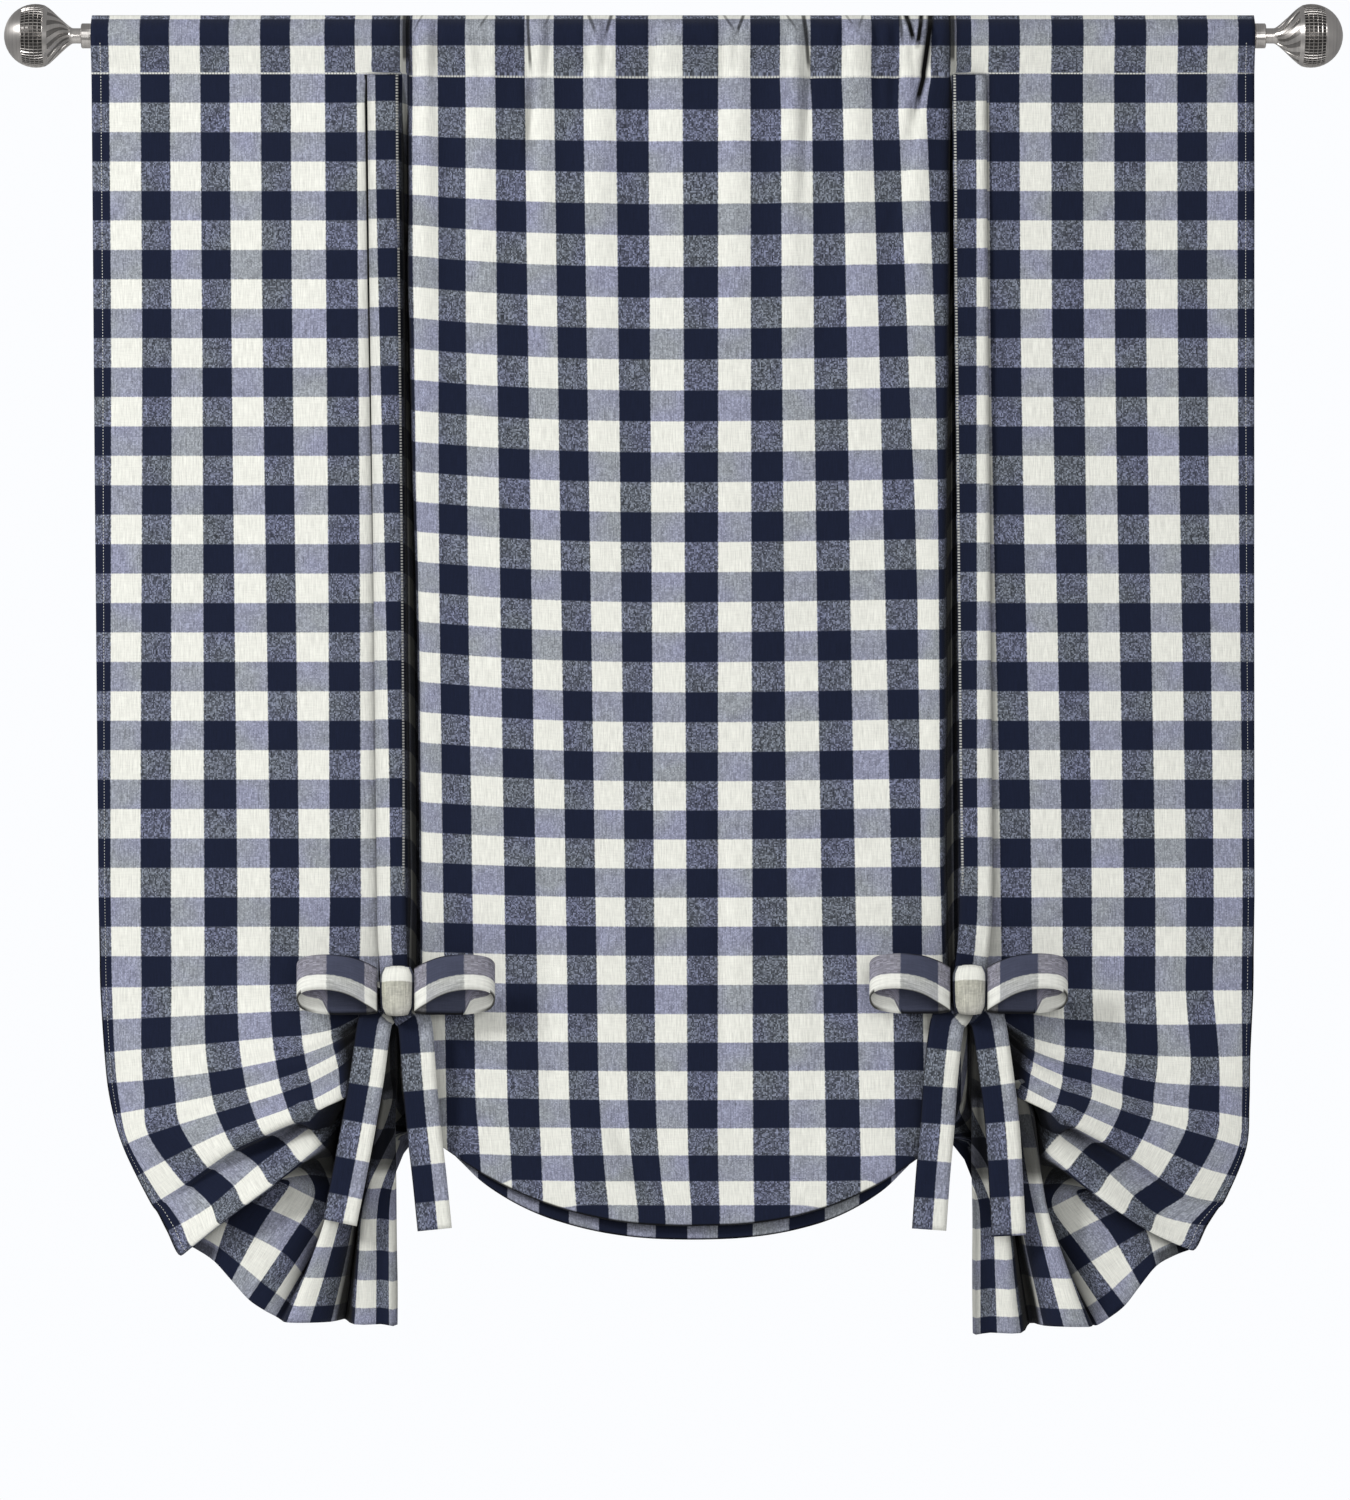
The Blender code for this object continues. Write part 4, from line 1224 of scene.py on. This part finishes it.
def gingham_group():
    """Warp and weft stripes, the four colours they make, and the threads' grain."""
    found = bpy.data.node_groups.get("gingham weave")
    if found:
        return found
    group = bpy.data.node_groups.new("gingham weave", "ShaderNodeTree")
    for name, in_out, kind in (
        ("Checks", "INPUT", "Vector"),
        ("Flecks", "INPUT", "Float"),
        ("Dark", "INPUT", "Color"),
        ("Light", "INPUT", "Color"),
        ("Dark Warp", "INPUT", "Color"),
        ("Light Warp", "INPUT", "Color"),
        ("Colour", "OUTPUT", "Color"),
        ("Height", "OUTPUT", "Float"),
    ):
        group.interface.new_socket(name, in_out=in_out, socket_type="NodeSocket" + kind)
    inside = group.nodes.new("NodeGroupInput").outputs
    outside = group.nodes.new("NodeGroupOutput")
    checks = inside["Checks"]
    parts = add_node(group, "ShaderNodeSeparateXYZ", {0: checks}).outputs
    plus, minus, times, most = arithmetic(group)
    shift = times(minus(soft_noise(group, checks, 9.0, 2.0), 0.5), STRIPE_WANDER)

    def stripe(count):
        """1 on the light stripes, 0 on the dark ones, with a narrow and uneven edge."""
        wave = math_node(group, "SINE", times(plus(count, shift), math.pi))
        return plus(times(wave, -STRIPE_STEEPNESS), 0.5, clamp=True)

    def grain(stretch, scale, detail):
        placed = add_node(group, "ShaderNodeMapping", {"Vector": checks, "Scale": stretch})
        return soft_noise(group, placed.outputs[0], scale, detail)

    def vector_maths(operation, fed):
        return add_node(group, "ShaderNodeVectorMath", fed, operation=operation).outputs[0]

    warp = stripe(parts[0])
    weft = stripe(parts[1])
    streaks = grain((1.0, 0.07, 1.0), 26.0, 3.0)
    cross_streaks = grain((0.1, 1.0, 1.0), 24.0, 2.0)

    # A lone value for each crossing of two threads, mostly low
    crossing = vector_maths("FLOOR", {0: vector_maths("MULTIPLY", {0: checks, 1: FLECK_THREADS})})
    fleck = add_node(group, "ShaderNodeTexWhiteNoise", {"Vector": crossing}, noise_dimensions="3D")
    specks = math_node(group, "POWER", fleck.outputs["Value"], 2.0)

    dark_row = mix_colours(group, weft, inside["Dark"], inside["Dark Warp"])
    light_row = mix_colours(group, weft, inside["Light Warp"], inside["Light"])
    plain = mix_colours(group, warp, dark_row, light_row)

    # Threads of the other colour show through as specks where the two stripes differ
    differs = math_node(group, "ABSOLUTE", minus(warp, weft))
    speckled = times(differs, plus(minus(1.0, warp), 0.45))
    speck_light = times(times(times(minus(specks, 0.33), 1.25), speckled), inside["Flecks"])
    streak = plus(times(minus(streaks, 0.5), 1.5), times(minus(cross_streaks, 0.5), 0.5))
    lines = times(streak, times(plus(differs, 0.8), 0.5))
    change = most(plus(plus(speck_light, lines), 1.0), 0.15)

    # The mixed checks lean to violet in some places and to grey in others
    clouds = grain((1.0, 1.0, 1.0), 0.42, 2.0)
    tint = mix_colours(group, minus(times(clouds, 4.0), 1.5, clamp=True), *CHECK_TINTS)
    tinted = mix_colours(group, differs, plain, mix_colours(group, 1.0, plain, tint, "MULTIPLY"))

    # Plain weave: one thread over, one under, about two to the millimetre
    turns = 2.0 * math.pi * WEAVE_THREADS
    over, under = [math_node(group, "SINE", times(part, turns)) for part in parts[:2]]
    height = plus(plus(times(times(over, under), 0.35), streaks), times(specks, 0.3))
    feed(group, outside, {"Colour": scale_colour(group, tinted, change), "Height": height})
    return group


def line_mask(tree, checks, line):
    """A mask along one line of a table of sewing lines or painted shadow lines."""
    direction, place, half, dash, first, last, lean, strength = line
    _, minus, times, _ = arithmetic(tree)
    parts = add_node(tree, "ShaderNodeSeparateXYZ", {0: checks}).outputs
    across, along = (parts[0], parts[1]) if direction == "down" else (parts[1], parts[0])
    straight = minus(across, times(minus(along, first), lean))
    off = math_node(tree, "ABSOLUTE", minus(straight, place))
    near = minus(1.6, math_node(tree, "DIVIDE", off, half), clamp=True)
    begun = math_node(tree, "GREATER_THAN", along, first)

    # A line fades out over its last part, and a faint line over more of it
    ended = times(minus(last, along), 2.5 * strength / (last - first) + 0.8, clamp=True)
    mask = times(near, times(begun, ended))
    if strength < 1.0:
        mask = times(mask, strength)
    if dash < 1.0:
        phase = math_node(tree, "FRACT", times(along, 10.0))
        mask = times(mask, math_node(tree, "LESS_THAN", phase, dash))
    return mask


def all_masks(tree, checks, lines):
    total = None
    for line in lines:
        mask = line_mask(tree, checks, line)
        total = mask if total is None else math_node(tree, "MAXIMUM", total, mask)
    return total


def gingham_material(name, settings, stitches=(), shade_lines=(), changed=None, flecks=1.0):
    """Woven check with sewing lines; shade lines are painted shadow lines where the cloth dips out of the
    light.
    """
    colours = {"Dark": settings.navy, "Light": settings.ivory,
               "Dark Warp": settings.slate, "Light Warp": settings.mist, **(changed or {})}
    material, tree, shader = new_material(name)
    plus, minus, times, most = arithmetic(tree)
    checks = add_node(tree, "ShaderNodeUVMap", uv_map="checks").outputs[0]
    fed = {socket: (*colour, 1.0) for socket, colour in colours.items()}
    fed.update({"Checks": checks, "Flecks": flecks})
    weave = add_node(tree, "ShaderNodeGroup", fed, node_tree=gingham_group()).outputs
    colour = weave["Colour"]
    height = weave["Height"]
    if stitches:
        thread = all_masks(tree, checks, stitches)
        colour = mix_colours(tree, thread, colour, THREAD_COLOUR)
        height = plus(height, times(thread, 0.8))
    # Painted shade: the stored hollow shade, the fold shadows, the shadow line along the middle's lower
    # edges and the shadow lines darken the colour
    above = minus(stored_mark(tree, "rim"), 1.0 - EDGE_SHADE_WIDTH / EDGE_SHADE_REACH)
    edge_shadow_line = times(above, 1.6 * EDGE_SHADE_REACH / EDGE_SHADE_WIDTH, clamp=True)
    painted_shade = most(times(stored_mark(tree, "hollow_shade"), settings.fold_shade), stored_mark(tree, "shadow"))
    painted_shade = most(painted_shade, times(edge_shadow_line, 0.95))
    if shade_lines:
        painted_shade = most(painted_shade, all_masks(tree, checks, shade_lines))
    feed(tree, shader, {
        "Base Color": scale_colour(tree, colour, minus(1.0, painted_shade, clamp=True)),
        "Roughness": 0.85,
        "Sheen Weight": 0.05,
        "Sheen Roughness": 0.5,
        "Specular IOR Level": 0.15,
    })
    add_relief(tree, shader, height, 0.5, 0.0005)
    return material


def ray_directions(count):
    """Directions spread evenly over the half of a sphere round +z."""
    golden = math.pi * (3.0 - math.sqrt(5.0))
    rays = []
    for index in range(count):
        rise = math.sqrt(1.0 - (index + 0.5) / count)
        out = math.sqrt(1.0 - rise * rise)
        rays.append((out * math.cos(index * golden), out * math.sin(index * golden), rise))
    return rays


def smooth_over_edges(mesh, values):
    """Each vertex's value averaged with those at the other ends of its edges."""
    edges = np.zeros(len(mesh.edges) * 2, dtype=np.int32)
    mesh.edges.foreach_get("vertices", edges)
    edges = edges.reshape(-1, 2)
    total = values.copy()
    near = np.ones(len(values))
    for first, second in ((0, 1), (1, 0)):
        np.add.at(total, edges[:, first], values[edges[:, second]])
        np.add.at(near, edges[:, first], 1.0)
    return total / near


def mark_hollow_shade(pieces, reach):
    """Stores on each piece how much its own folds and the other pieces shut it in, 0 to 1, as the painted
    shade that darkens its colour.
    """
    points = []
    faces = []
    for piece in pieces:
        start = len(points)
        points += [vert.co.copy() for vert in piece.data.vertices]
        faces += [[start + corner for corner in face.vertices] for face in piece.data.polygons]
    tree = BVHTree.FromPolygons(points, faces)
    rays = ray_directions(HOLLOW_SHADE_RAYS)
    for piece in pieces:
        mesh = piece.data
        values = np.zeros(len(mesh.vertices))
        for vert in mesh.vertices:
            up = vert.normal
            side = up.orthogonal().normalized()
            third = up.cross(side)
            start = vert.co + up * RAY_START
            shut = 0.0
            for a, b, c in rays:
                distance = tree.ray_cast(start, side * a + third * b + up * c, reach)[3]
                if distance is not None:
                    shut += 1.0 - distance / reach
            values[vert.index] = shut / len(rays)
        for _ in range(2):
            values = smooth_over_edges(mesh, values)
        store_mark(mesh, "hollow_shade", values)


def brushed_metal(name, colour, roughness):
    """Brushed metal turned about the rod: fine rings round it, with painted shade in its dots and flutes."""
    material, tree, shader = new_material(name)
    plus, minus, times, _ = arithmetic(tree)
    place = add_node(tree, "ShaderNodeTexCoord").outputs["Object"]
    rings = add_node(tree, "ShaderNodeMapping", {"Vector": place, "Scale": (900.0, 20.0, 20.0)})
    lines = soft_noise(tree, rings.outputs[0], 1.0, 3.0)
    clouds = soft_noise(tree, place, 45.0, 4.0)
    tone = plus(plus(times(lines, 0.5), 0.55), times(clouds, 0.3))
    # Painted shade in the dots and flutes, from their stored mark
    open_share = minus(1.0, times(stored_mark(tree, "groove_shade"), 0.9))
    feed(tree, shader, {
        "Base Color": scale_colour(tree, colour, times(tone, open_share)),
        "Metallic": 1.0,
        "Anisotropic": 0.75,
        "Roughness": plus(times(clouds, 0.18), roughness - 0.09),
    })
    add_relief(tree, shader, lines, 0.18, 0.0003)
    return material


# Settings

# The bows' colours are painted lighter than the panel's, for the light that they catch
LOOP_LIT_COLOURS = {
    "Dark": (0.062, 0.069, 0.110),
    "Light": (0.86, 0.86, 0.80),
    "Dark Warp": (0.27, 0.27, 0.31),
    "Light Warp": (0.48, 0.50, 0.46),
}
KNOT_COLOURS = {"Light Warp": (0.50, 0.50, 0.44)}


def colour_setting(name, description, default):
    return bpy.props.FloatVectorProperty(name=name, description=description, subtype="COLOR",
                                         size=3, min=0.0, max=1.0, default=default)


class ShadeCloth(bpy.types.PropertyGroup):
    thickness: bpy.props.FloatProperty(
        name="Cloth Thickness", description="Thickness of the panel's cloth", unit="LENGTH", default=0.0009)
    gather_depth: bpy.props.FloatProperty(
        name="Gather Depth", description="How strongly the middle gathers under its pocket", default=1.0)
    navy: colour_setting("Navy", "Navy threads over navy threads", (0.0078, 0.0120, 0.0325))
    ivory: colour_setting("Ivory", "Ivory threads over ivory threads", (0.87, 0.87, 0.80))
    slate: colour_setting("Slate", "Navy warp with ivory weft", (0.128, 0.144, 0.190))
    mist: colour_setting("Mist", "Ivory warp with navy weft", (0.312, 0.336, 0.404))
    fold_shade: bpy.props.FloatProperty(
        name="Fold Shade", description="How dark the cloth gets inside its folds",
        subtype="FACTOR", default=1.25)


class ShadeTies(bpy.types.PropertyGroup):
    width: bpy.props.FloatProperty(
        name="Tie Width", description="Width of the ties and bows", unit="LENGTH", default=TIE_WIDTH * MM)
    thickness: bpy.props.FloatProperty(
        name="Tie Thickness", description="Thickness of the sewn ties", unit="LENGTH", default=0.0012)


class ShadeMetal(bpy.types.PropertyGroup):
    nickel: colour_setting("Nickel", "Colour of the finials and collars", (0.70, 0.665, 0.635))
    roughness: bpy.props.FloatProperty(
        name="Roughness", description="Roughness of the brushed metal", subtype="FACTOR", default=0.34)


class ShadeStage(bpy.types.PropertyGroup):
    camera_distance: bpy.props.FloatProperty(
        name="Camera Distance", description="From the camera to the shade", unit="LENGTH", default=6.0)
    key_power: bpy.props.FloatProperty(
        name="Key Power", description="Power of the main light", unit="POWER", default=113.0)
    room_light: bpy.props.FloatProperty(
        name="Room Light", description="Strength of the light from all round", default=0.28)


# Operators


class SHADE_OT_add_stage(bpy.types.Operator):
    """Adds the pale floor, the soft lights and the camera"""
    bl_idname = "shade.add_stage"
    bl_label = "Stage"

    def execute(self, context):
        settings = context.scene.shade_stage
        scene = context.scene
        deselect_all()
        bpy.ops.mesh.primitive_plane_add(size=4.0, location=(0.0, 0.0, FLOOR_HEIGHT))
        floor = context.object
        floor.name = "floor"
        material, tree, shader = new_material("pale_floor")
        feed(tree, shader, {"Base Color": (0.85, 0.85, 0.84, 1.0), "Roughness": 0.8})
        floor.data.materials.append(material)

        world = bpy.data.worlds.new("pale room")
        scene.world = world
        world.use_nodes = True
        tree = world.node_tree
        seen = add_node(tree, "ShaderNodeLightPath").outputs["Is Camera Ray"]
        fed = {"Value": seen, "To Min": settings.room_light, "To Max": 1.0}
        strength = add_node(tree, "ShaderNodeMapRange", fed).outputs[0]
        feed(tree, tree.nodes["Background"], {0: (0.97, 0.98, 1.0, 1.0), 1: strength})

        for name, place, power, size in LIGHTS:
            lamp = bpy.data.lights.new(name, "AREA")
            lamp.size = size
            lamp.energy = settings.key_power * power
            made = bpy.data.objects.new(name, lamp)
            scene.collection.objects.link(made)
            made.location = place
            aim = Vector(LIGHTS_AIM) - Vector(place)
            made.rotation_euler = aim.to_track_quat("-Z", "Y").to_euler()

        lens = bpy.data.cameras.new("camera")
        camera = bpy.data.objects.new("camera", lens)
        scene.collection.objects.link(camera)
        camera.location = (FRAME_CENTRE[0], -settings.camera_distance, FRAME_CENTRE[1])
        camera.rotation_euler = (math.radians(90.0), 0.0, 0.0)
        lens.sensor_fit = "AUTO"
        lens.sensor_width = SENSOR_WIDTH
        lens.lens = SENSOR_WIDTH * settings.camera_distance / FRAME_HEIGHT
        scene.camera = camera
        scene.view_settings.view_transform = "Standard"
        return {"FINISHED"}


class SHADE_OT_add_panel(bpy.types.Operator):
    """Adds the one cloth panel: pocket, sides, deep folds, middle and fans"""
    bl_idname = "shade.add_panel"
    bl_label = "Panel"

    def execute(self, context):
        settings = context.scene.shade_cloth
        grid = panel_grid()
        places = grid[:, :, :3].copy()
        checks = grid[:, :, 3]
        rows = grid[:, :, 4]
        normals = grid_normals(places)
        shadow = np.zeros(checks.shape)
        rim = np.zeros(checks.shape)
        for cell in np.ndindex(checks.shape):
            x, _, z = places[cell]
            row = rows[cell]
            lift = surface_detail(x, z, checks[cell], row, settings.gather_depth)
            shadow[cell] = fold_shadow(x, checks[cell], row)
            rim[cell] = edge_shade_share(x, z, row)
            if row < POCKET_SEAM:
                places[cell][1] -= max(lift, -0.4) * fade(-0.17, 0.3, row)
            else:
                places[cell] += normals[cell] * lift
        made = mesh_from_grid("panel_cloth", places, checks, rows, (("shadow", shadow), ("rim", rim)))
        give_thickness(made, settings.thickness)
        shade_lines = [("down", place, half, 1.0, first, last, lean, darkness)
                 for place, first, last, lean, half, darkness in PANEL_SHADE_LINES]
        material = gingham_material("gingham_cloth", settings, PANEL_STITCHES, shade_lines)
        finish_piece(made, material, ["shade_panel"])
        return {"FINISHED"}


class SHADE_OT_add_straps(bpy.types.Operator):
    """Adds the two long ties that hang in front of the panel"""
    bl_idname = "shade.add_straps"
    bl_label = "Long Ties"

    def execute(self, context):
        ties = context.scene.shade_ties
        cloth = context.scene.shade_cloth
        width = ties.width / MM
        for name, path, widths, first, last, stitch, low_drift in STRAPS:
            places = ribbon_places(path, (width * widths[0], width * widths[1]), 6, 0.25)
            rows = (CLOTH_TOP - places[:, 3, 2]) / CHECK_HEIGHT + 0.05
            drift = np.interp(rows, STRAP_DRIFT_ROWS, (0.0, low_drift))
            made = ribbon(name + "_cloth", places, first, last, rows, ties.thickness, drift)
            lean = low_drift / (STRAP_DRIFT_ROWS[1] - STRAP_DRIFT_ROWS[0])
            stitches = (("down", stitch, 0.035, 0.6, 2.0, 8.0, 0.0, 0.9),
                        ("down", stitch, 0.035, 0.6, 8.0, 30.0, lean, 0.8))
            material = gingham_material(name + "_gingham", cloth, stitches)
            finish_piece(made, material, [name])
        return {"FINISHED"}


def bow_side(name):
    """The knot that a bow's piece belongs to: its place and its cloth's name."""
    if "left_" in name:
        return KNOT_LEFT, "knot_left_cloth"
    return KNOT_RIGHT, "knot_right_cloth"


class SHADE_OT_add_bows(bpy.types.Operator):
    """Adds the bows: four loops, four free ends and two knots"""
    bl_idname = "shade.add_bows"
    bl_label = "Bows"

    def execute(self, context):
        ties = context.scene.shade_ties
        cloth = context.scene.shade_cloth
        end_material = gingham_material("tie_end_gingham", cloth, (), END_SHADE_LINES)
        # The loops' material: painted lighter, with painted shadow lines
        loop_material = gingham_material("bow_gingham_lit", cloth, (), LOOP_SHADE_LINES, LOOP_LIT_COLOURS, 0.3)
        knot_material = gingham_material("knot_gingham", cloth, changed=KNOT_COLOURS, flecks=0.3)
        for name, side in LOOPS:
            knot, bow = bow_side(name)
            places = loop_places(knot, side)
            lengths = run_lengths(places)
            rows = np.interp(lengths, *LOOP_ROWS)
            drift = np.interp(lengths, *LOOP_SHADE_DRIFT)
            made = ribbon(name + "_cloth", places, *LOOP_CHECKS, rows, ties.thickness, drift)
            finish_piece(made, loop_material, [name])
        for name, path in END_PATHS.items():
            knot, bow = bow_side(name)
            placed = [(knot[0] + out, knot[1] + up, forward) for out, up, forward in path]
            places = ribbon_places(placed, (ties.width / MM, ties.width / MM), 6, 0.4)
            rows = END_TOP_ROW + run_lengths(places) / END_ROW_HEIGHT
            made = ribbon(name + "_cloth", places, *END_CHECKS, rows, ties.thickness)
            finish_piece(made, end_material, [name])
        for name, knot in (("knot_left", KNOT_LEFT), ("knot_right", KNOT_RIGHT)):
            places = knot_places(knot)
            turns = np.linspace(0.0, 1.0, KNOT_ROUND + 1)
            levels = np.linspace(*KNOT_ROWS, KNOT_LEVELS + 1)
            checks = np.tile(between(*KNOT_CHECKS, turns), (len(levels), 1))
            rows = np.tile(levels[:, None], (1, len(turns)))
            made = mesh_from_grid(name + "_cloth", places, checks, rows)
            give_thickness(made, ties.thickness)
            finish_piece(made, knot_material, [name])
        return {"FINISHED"}


class SHADE_OT_shade_folds(bpy.types.Operator):
    """Works out how far the folds, bows and ties shut each bit of cloth in, for the painted shade in its
    colour
    """
    bl_idname = "shade.shade_folds"
    bl_label = "Fold Shade"

    def execute(self, context):
        cloths = [found for found in context.scene.objects if found.name.endswith("_cloth")]
        if not cloths:
            raise RuntimeError("there is no cloth yet")
        mark_hollow_shade(cloths, HOLLOW_SHADE_REACH)
        return {"FINISHED"}


class SHADE_OT_add_fittings(bpy.types.Operator):
    """Adds the two ball finials and gives the rod and collars their metal"""
    bl_idname = "shade.add_fittings"
    bl_label = "Rod Fittings"

    def execute(self, context):
        settings = context.scene.shade_metal
        nickel = brushed_metal("brushed_nickel_finish", tuple(settings.nickel), settings.roughness)
        for node in ("rod", "collar_left", "collar_right"):
            shown = frame["nodes"][node]
            shown.data.materials.clear()
            shown.data.materials.append(nickel)
        left = add_finial("finial_left_metal")
        right = copy_to_right(left, "finial_right_metal")
        for name, made in (("left", left), ("right", right)):
            finish_piece(made, nickel, ["finial_" + name])
        return {"FINISHED"}


def select_faces(made, wanted):
    """Selects the faces whose centre, as (distance from the ball's centre to the rod, angle), is wanted."""
    shape = bmesh.from_edit_mesh(made.data)
    for face in shape.faces:
        middle = face.calc_center_median()
        out = middle.x / MM + BALL_CENTRE
        face.select_set(wanted(out, math.atan2(middle.z, middle.y)))
    shape.select_flush_mode()
    bmesh.update_edit_mesh(made.data)


def paint_groove_shade(made, depth):
    """Marks the selected faces' corners for painted shade, 0 to 1 dark."""
    shape = bmesh.from_edit_mesh(made.data)
    layer = shape.verts.layers.float.get("groove_shade") or shape.verts.layers.float.new("groove_shade")
    for face in shape.faces:
        if face.select:
            for vert in face.verts:
                vert[layer] = depth
    bmesh.update_edit_mesh(made.data)


def flare_turn(out):
    """How far the flare's flutes have turned about the rod at a distance from the ball's centre."""
    return FLUTE_TURN * fade(FLARE[0][0] - 4.0, FLARE[7][0], out)


def add_finial(name):
    """The left finial: a ball with a dotted belt, a fluted flare and a neck, worked from a sphere."""
    deselect_all()
    place = (-BALL_CENTRE * MM, 0.0, 0.0)
    bpy.ops.mesh.primitive_uv_sphere_add(
        segments=BALL_SEGMENTS, ring_count=BALL_RINGS, radius=BALL_RADIUS * MM,
        location=place, rotation=(0.0, math.pi / 2, 0.0))
    made = bpy.context.object
    made.name = name
    bpy.ops.object.transform_apply(location=True, rotation=True, scale=True)
    bpy.ops.object.mode_set(mode="EDIT")
    bpy.ops.mesh.select_mode(type="FACE")

    # The side towards the rod makes way for the flare
    select_faces(made, lambda out, angle: out > BALL_CUT + 1.0)
    bpy.ops.mesh.delete(type="FACE")
    bpy.ops.mesh.select_mode(type="EDGE")
    shape = bmesh.from_edit_mesh(made.data)
    for edge in shape.edges:
        edge.select_set(edge.is_boundary)
    bmesh.update_edit_mesh(made.data)
    out = BALL_CUT
    radius = math.sqrt(BALL_RADIUS ** 2 - BALL_CUT ** 2)
    for next_out, next_radius in FLARE:
        bpy.ops.mesh.extrude_region_move(
            TRANSFORM_OT_translate={"value": ((next_out - out) * MM, 0.0, 0.0)})
        centre = ((next_out - BALL_CENTRE) * MM, 0.0, 0.0)
        grown = next_radius / radius
        bpy.ops.transform.resize(value=(1.0, grown, grown), center_override=centre)
        turn = flare_turn(next_out) - flare_turn(out)
        if turn > 0.0:
            bpy.ops.transform.rotate(value=turn, orient_axis="X", center_override=centre)
        out = next_out
        radius = next_radius
    bpy.ops.mesh.edge_face_add()

    # Dotted belt round the ball
    bpy.ops.mesh.select_mode(type="FACE")
    select_faces(made, lambda out, angle: BELT_START < out < BALL_CUT)
    bpy.ops.mesh.inset(thickness=DOT_RIM * MM, depth=-DOT_DEPTH * MM, use_individual=True)
    # Full painted shade in the dots
    paint_groove_shade(made, 1.0)

    # Flutes that wind round the flare
    def in_flute(out, angle):
        part = (angle + flare_turn(out)) / (2.0 * math.pi) * BALL_SEGMENTS
        return FLARE[0][0] < out < FLARE[6][0] and math.floor(part + 0.01) % 4 < 2

    select_faces(made, in_flute)
    bpy.ops.mesh.inset(thickness=FLUTE_RIM * MM, depth=-FLUTE_DEPTH * MM)
    # Lighter painted shade in the flutes
    paint_groove_shade(made, 0.6)
    bpy.ops.mesh.select_all(action="SELECT")
    bpy.ops.mesh.normals_make_consistent(inside=False)
    bpy.ops.object.mode_set(mode="OBJECT")
    bpy.ops.object.shade_smooth_by_angle(angle=math.radians(38.0))
    return made


def copy_to_right(made, name):
    """A copy with its own mesh, turned about the middle of the rod."""
    deselect_all()
    made.select_set(True)
    bpy.context.view_layer.objects.active = made
    bpy.ops.object.duplicate(linked=False)
    copied = bpy.context.object
    copied.name = name
    bpy.ops.transform.rotate(value=math.pi, orient_axis="Z", center_override=(0.0, 0.0, 0.0))
    bpy.ops.object.transform_apply(location=True, rotation=True, scale=True)
    return copied


# Panel, registration and the run


class SHADE_PT_sidebar(bpy.types.Panel):
    """Lists the shade's pieces and settings"""
    bl_idname = "SHADE_PT_sidebar"
    bl_label = "Tie-Up Shade"
    bl_space_type = "VIEW_3D"
    bl_region_type = "UI"
    bl_category = "Shade"

    def draw(self, context):
        layout = self.layout
        scene = context.scene
        for operator in STEPS:
            layout.operator(operator)
        for group, kind in SETTINGS.items():
            box = layout.box()
            for name in kind.__annotations__:
                box.prop(getattr(scene, group), name)


STEPS = (
    "shade.add_stage",
    "shade.add_panel",
    "shade.add_straps",
    "shade.add_bows",
    "shade.shade_folds",
    "shade.add_fittings",
)
SETTINGS = {
    "shade_cloth": ShadeCloth,
    "shade_ties": ShadeTies,
    "shade_metal": ShadeMetal,
    "shade_stage": ShadeStage,
}
CLASSES = (
    *SETTINGS.values(),
    SHADE_OT_add_stage,
    SHADE_OT_add_panel,
    SHADE_OT_add_straps,
    SHADE_OT_add_bows,
    SHADE_OT_shade_folds,
    SHADE_OT_add_fittings,
    SHADE_PT_sidebar,
)


def register():
    for kind in CLASSES:
        bpy.utils.register_class(kind)
    for name, kind in SETTINGS.items():
        setattr(bpy.types.Scene, name, bpy.props.PointerProperty(type=kind))


def unregister():
    for name in SETTINGS:
        delattr(bpy.types.Scene, name)
    for kind in reversed(CLASSES):
        bpy.utils.unregister_class(kind)


def main():
    register()
    bpy.ops.shade.add_stage()
    bpy.ops.shade.add_panel()
    bpy.ops.shade.add_straps()
    bpy.ops.shade.add_bows()
    bpy.ops.shade.shade_folds()
    bpy.ops.shade.add_fittings()


if __name__ == "__main__":
    main()
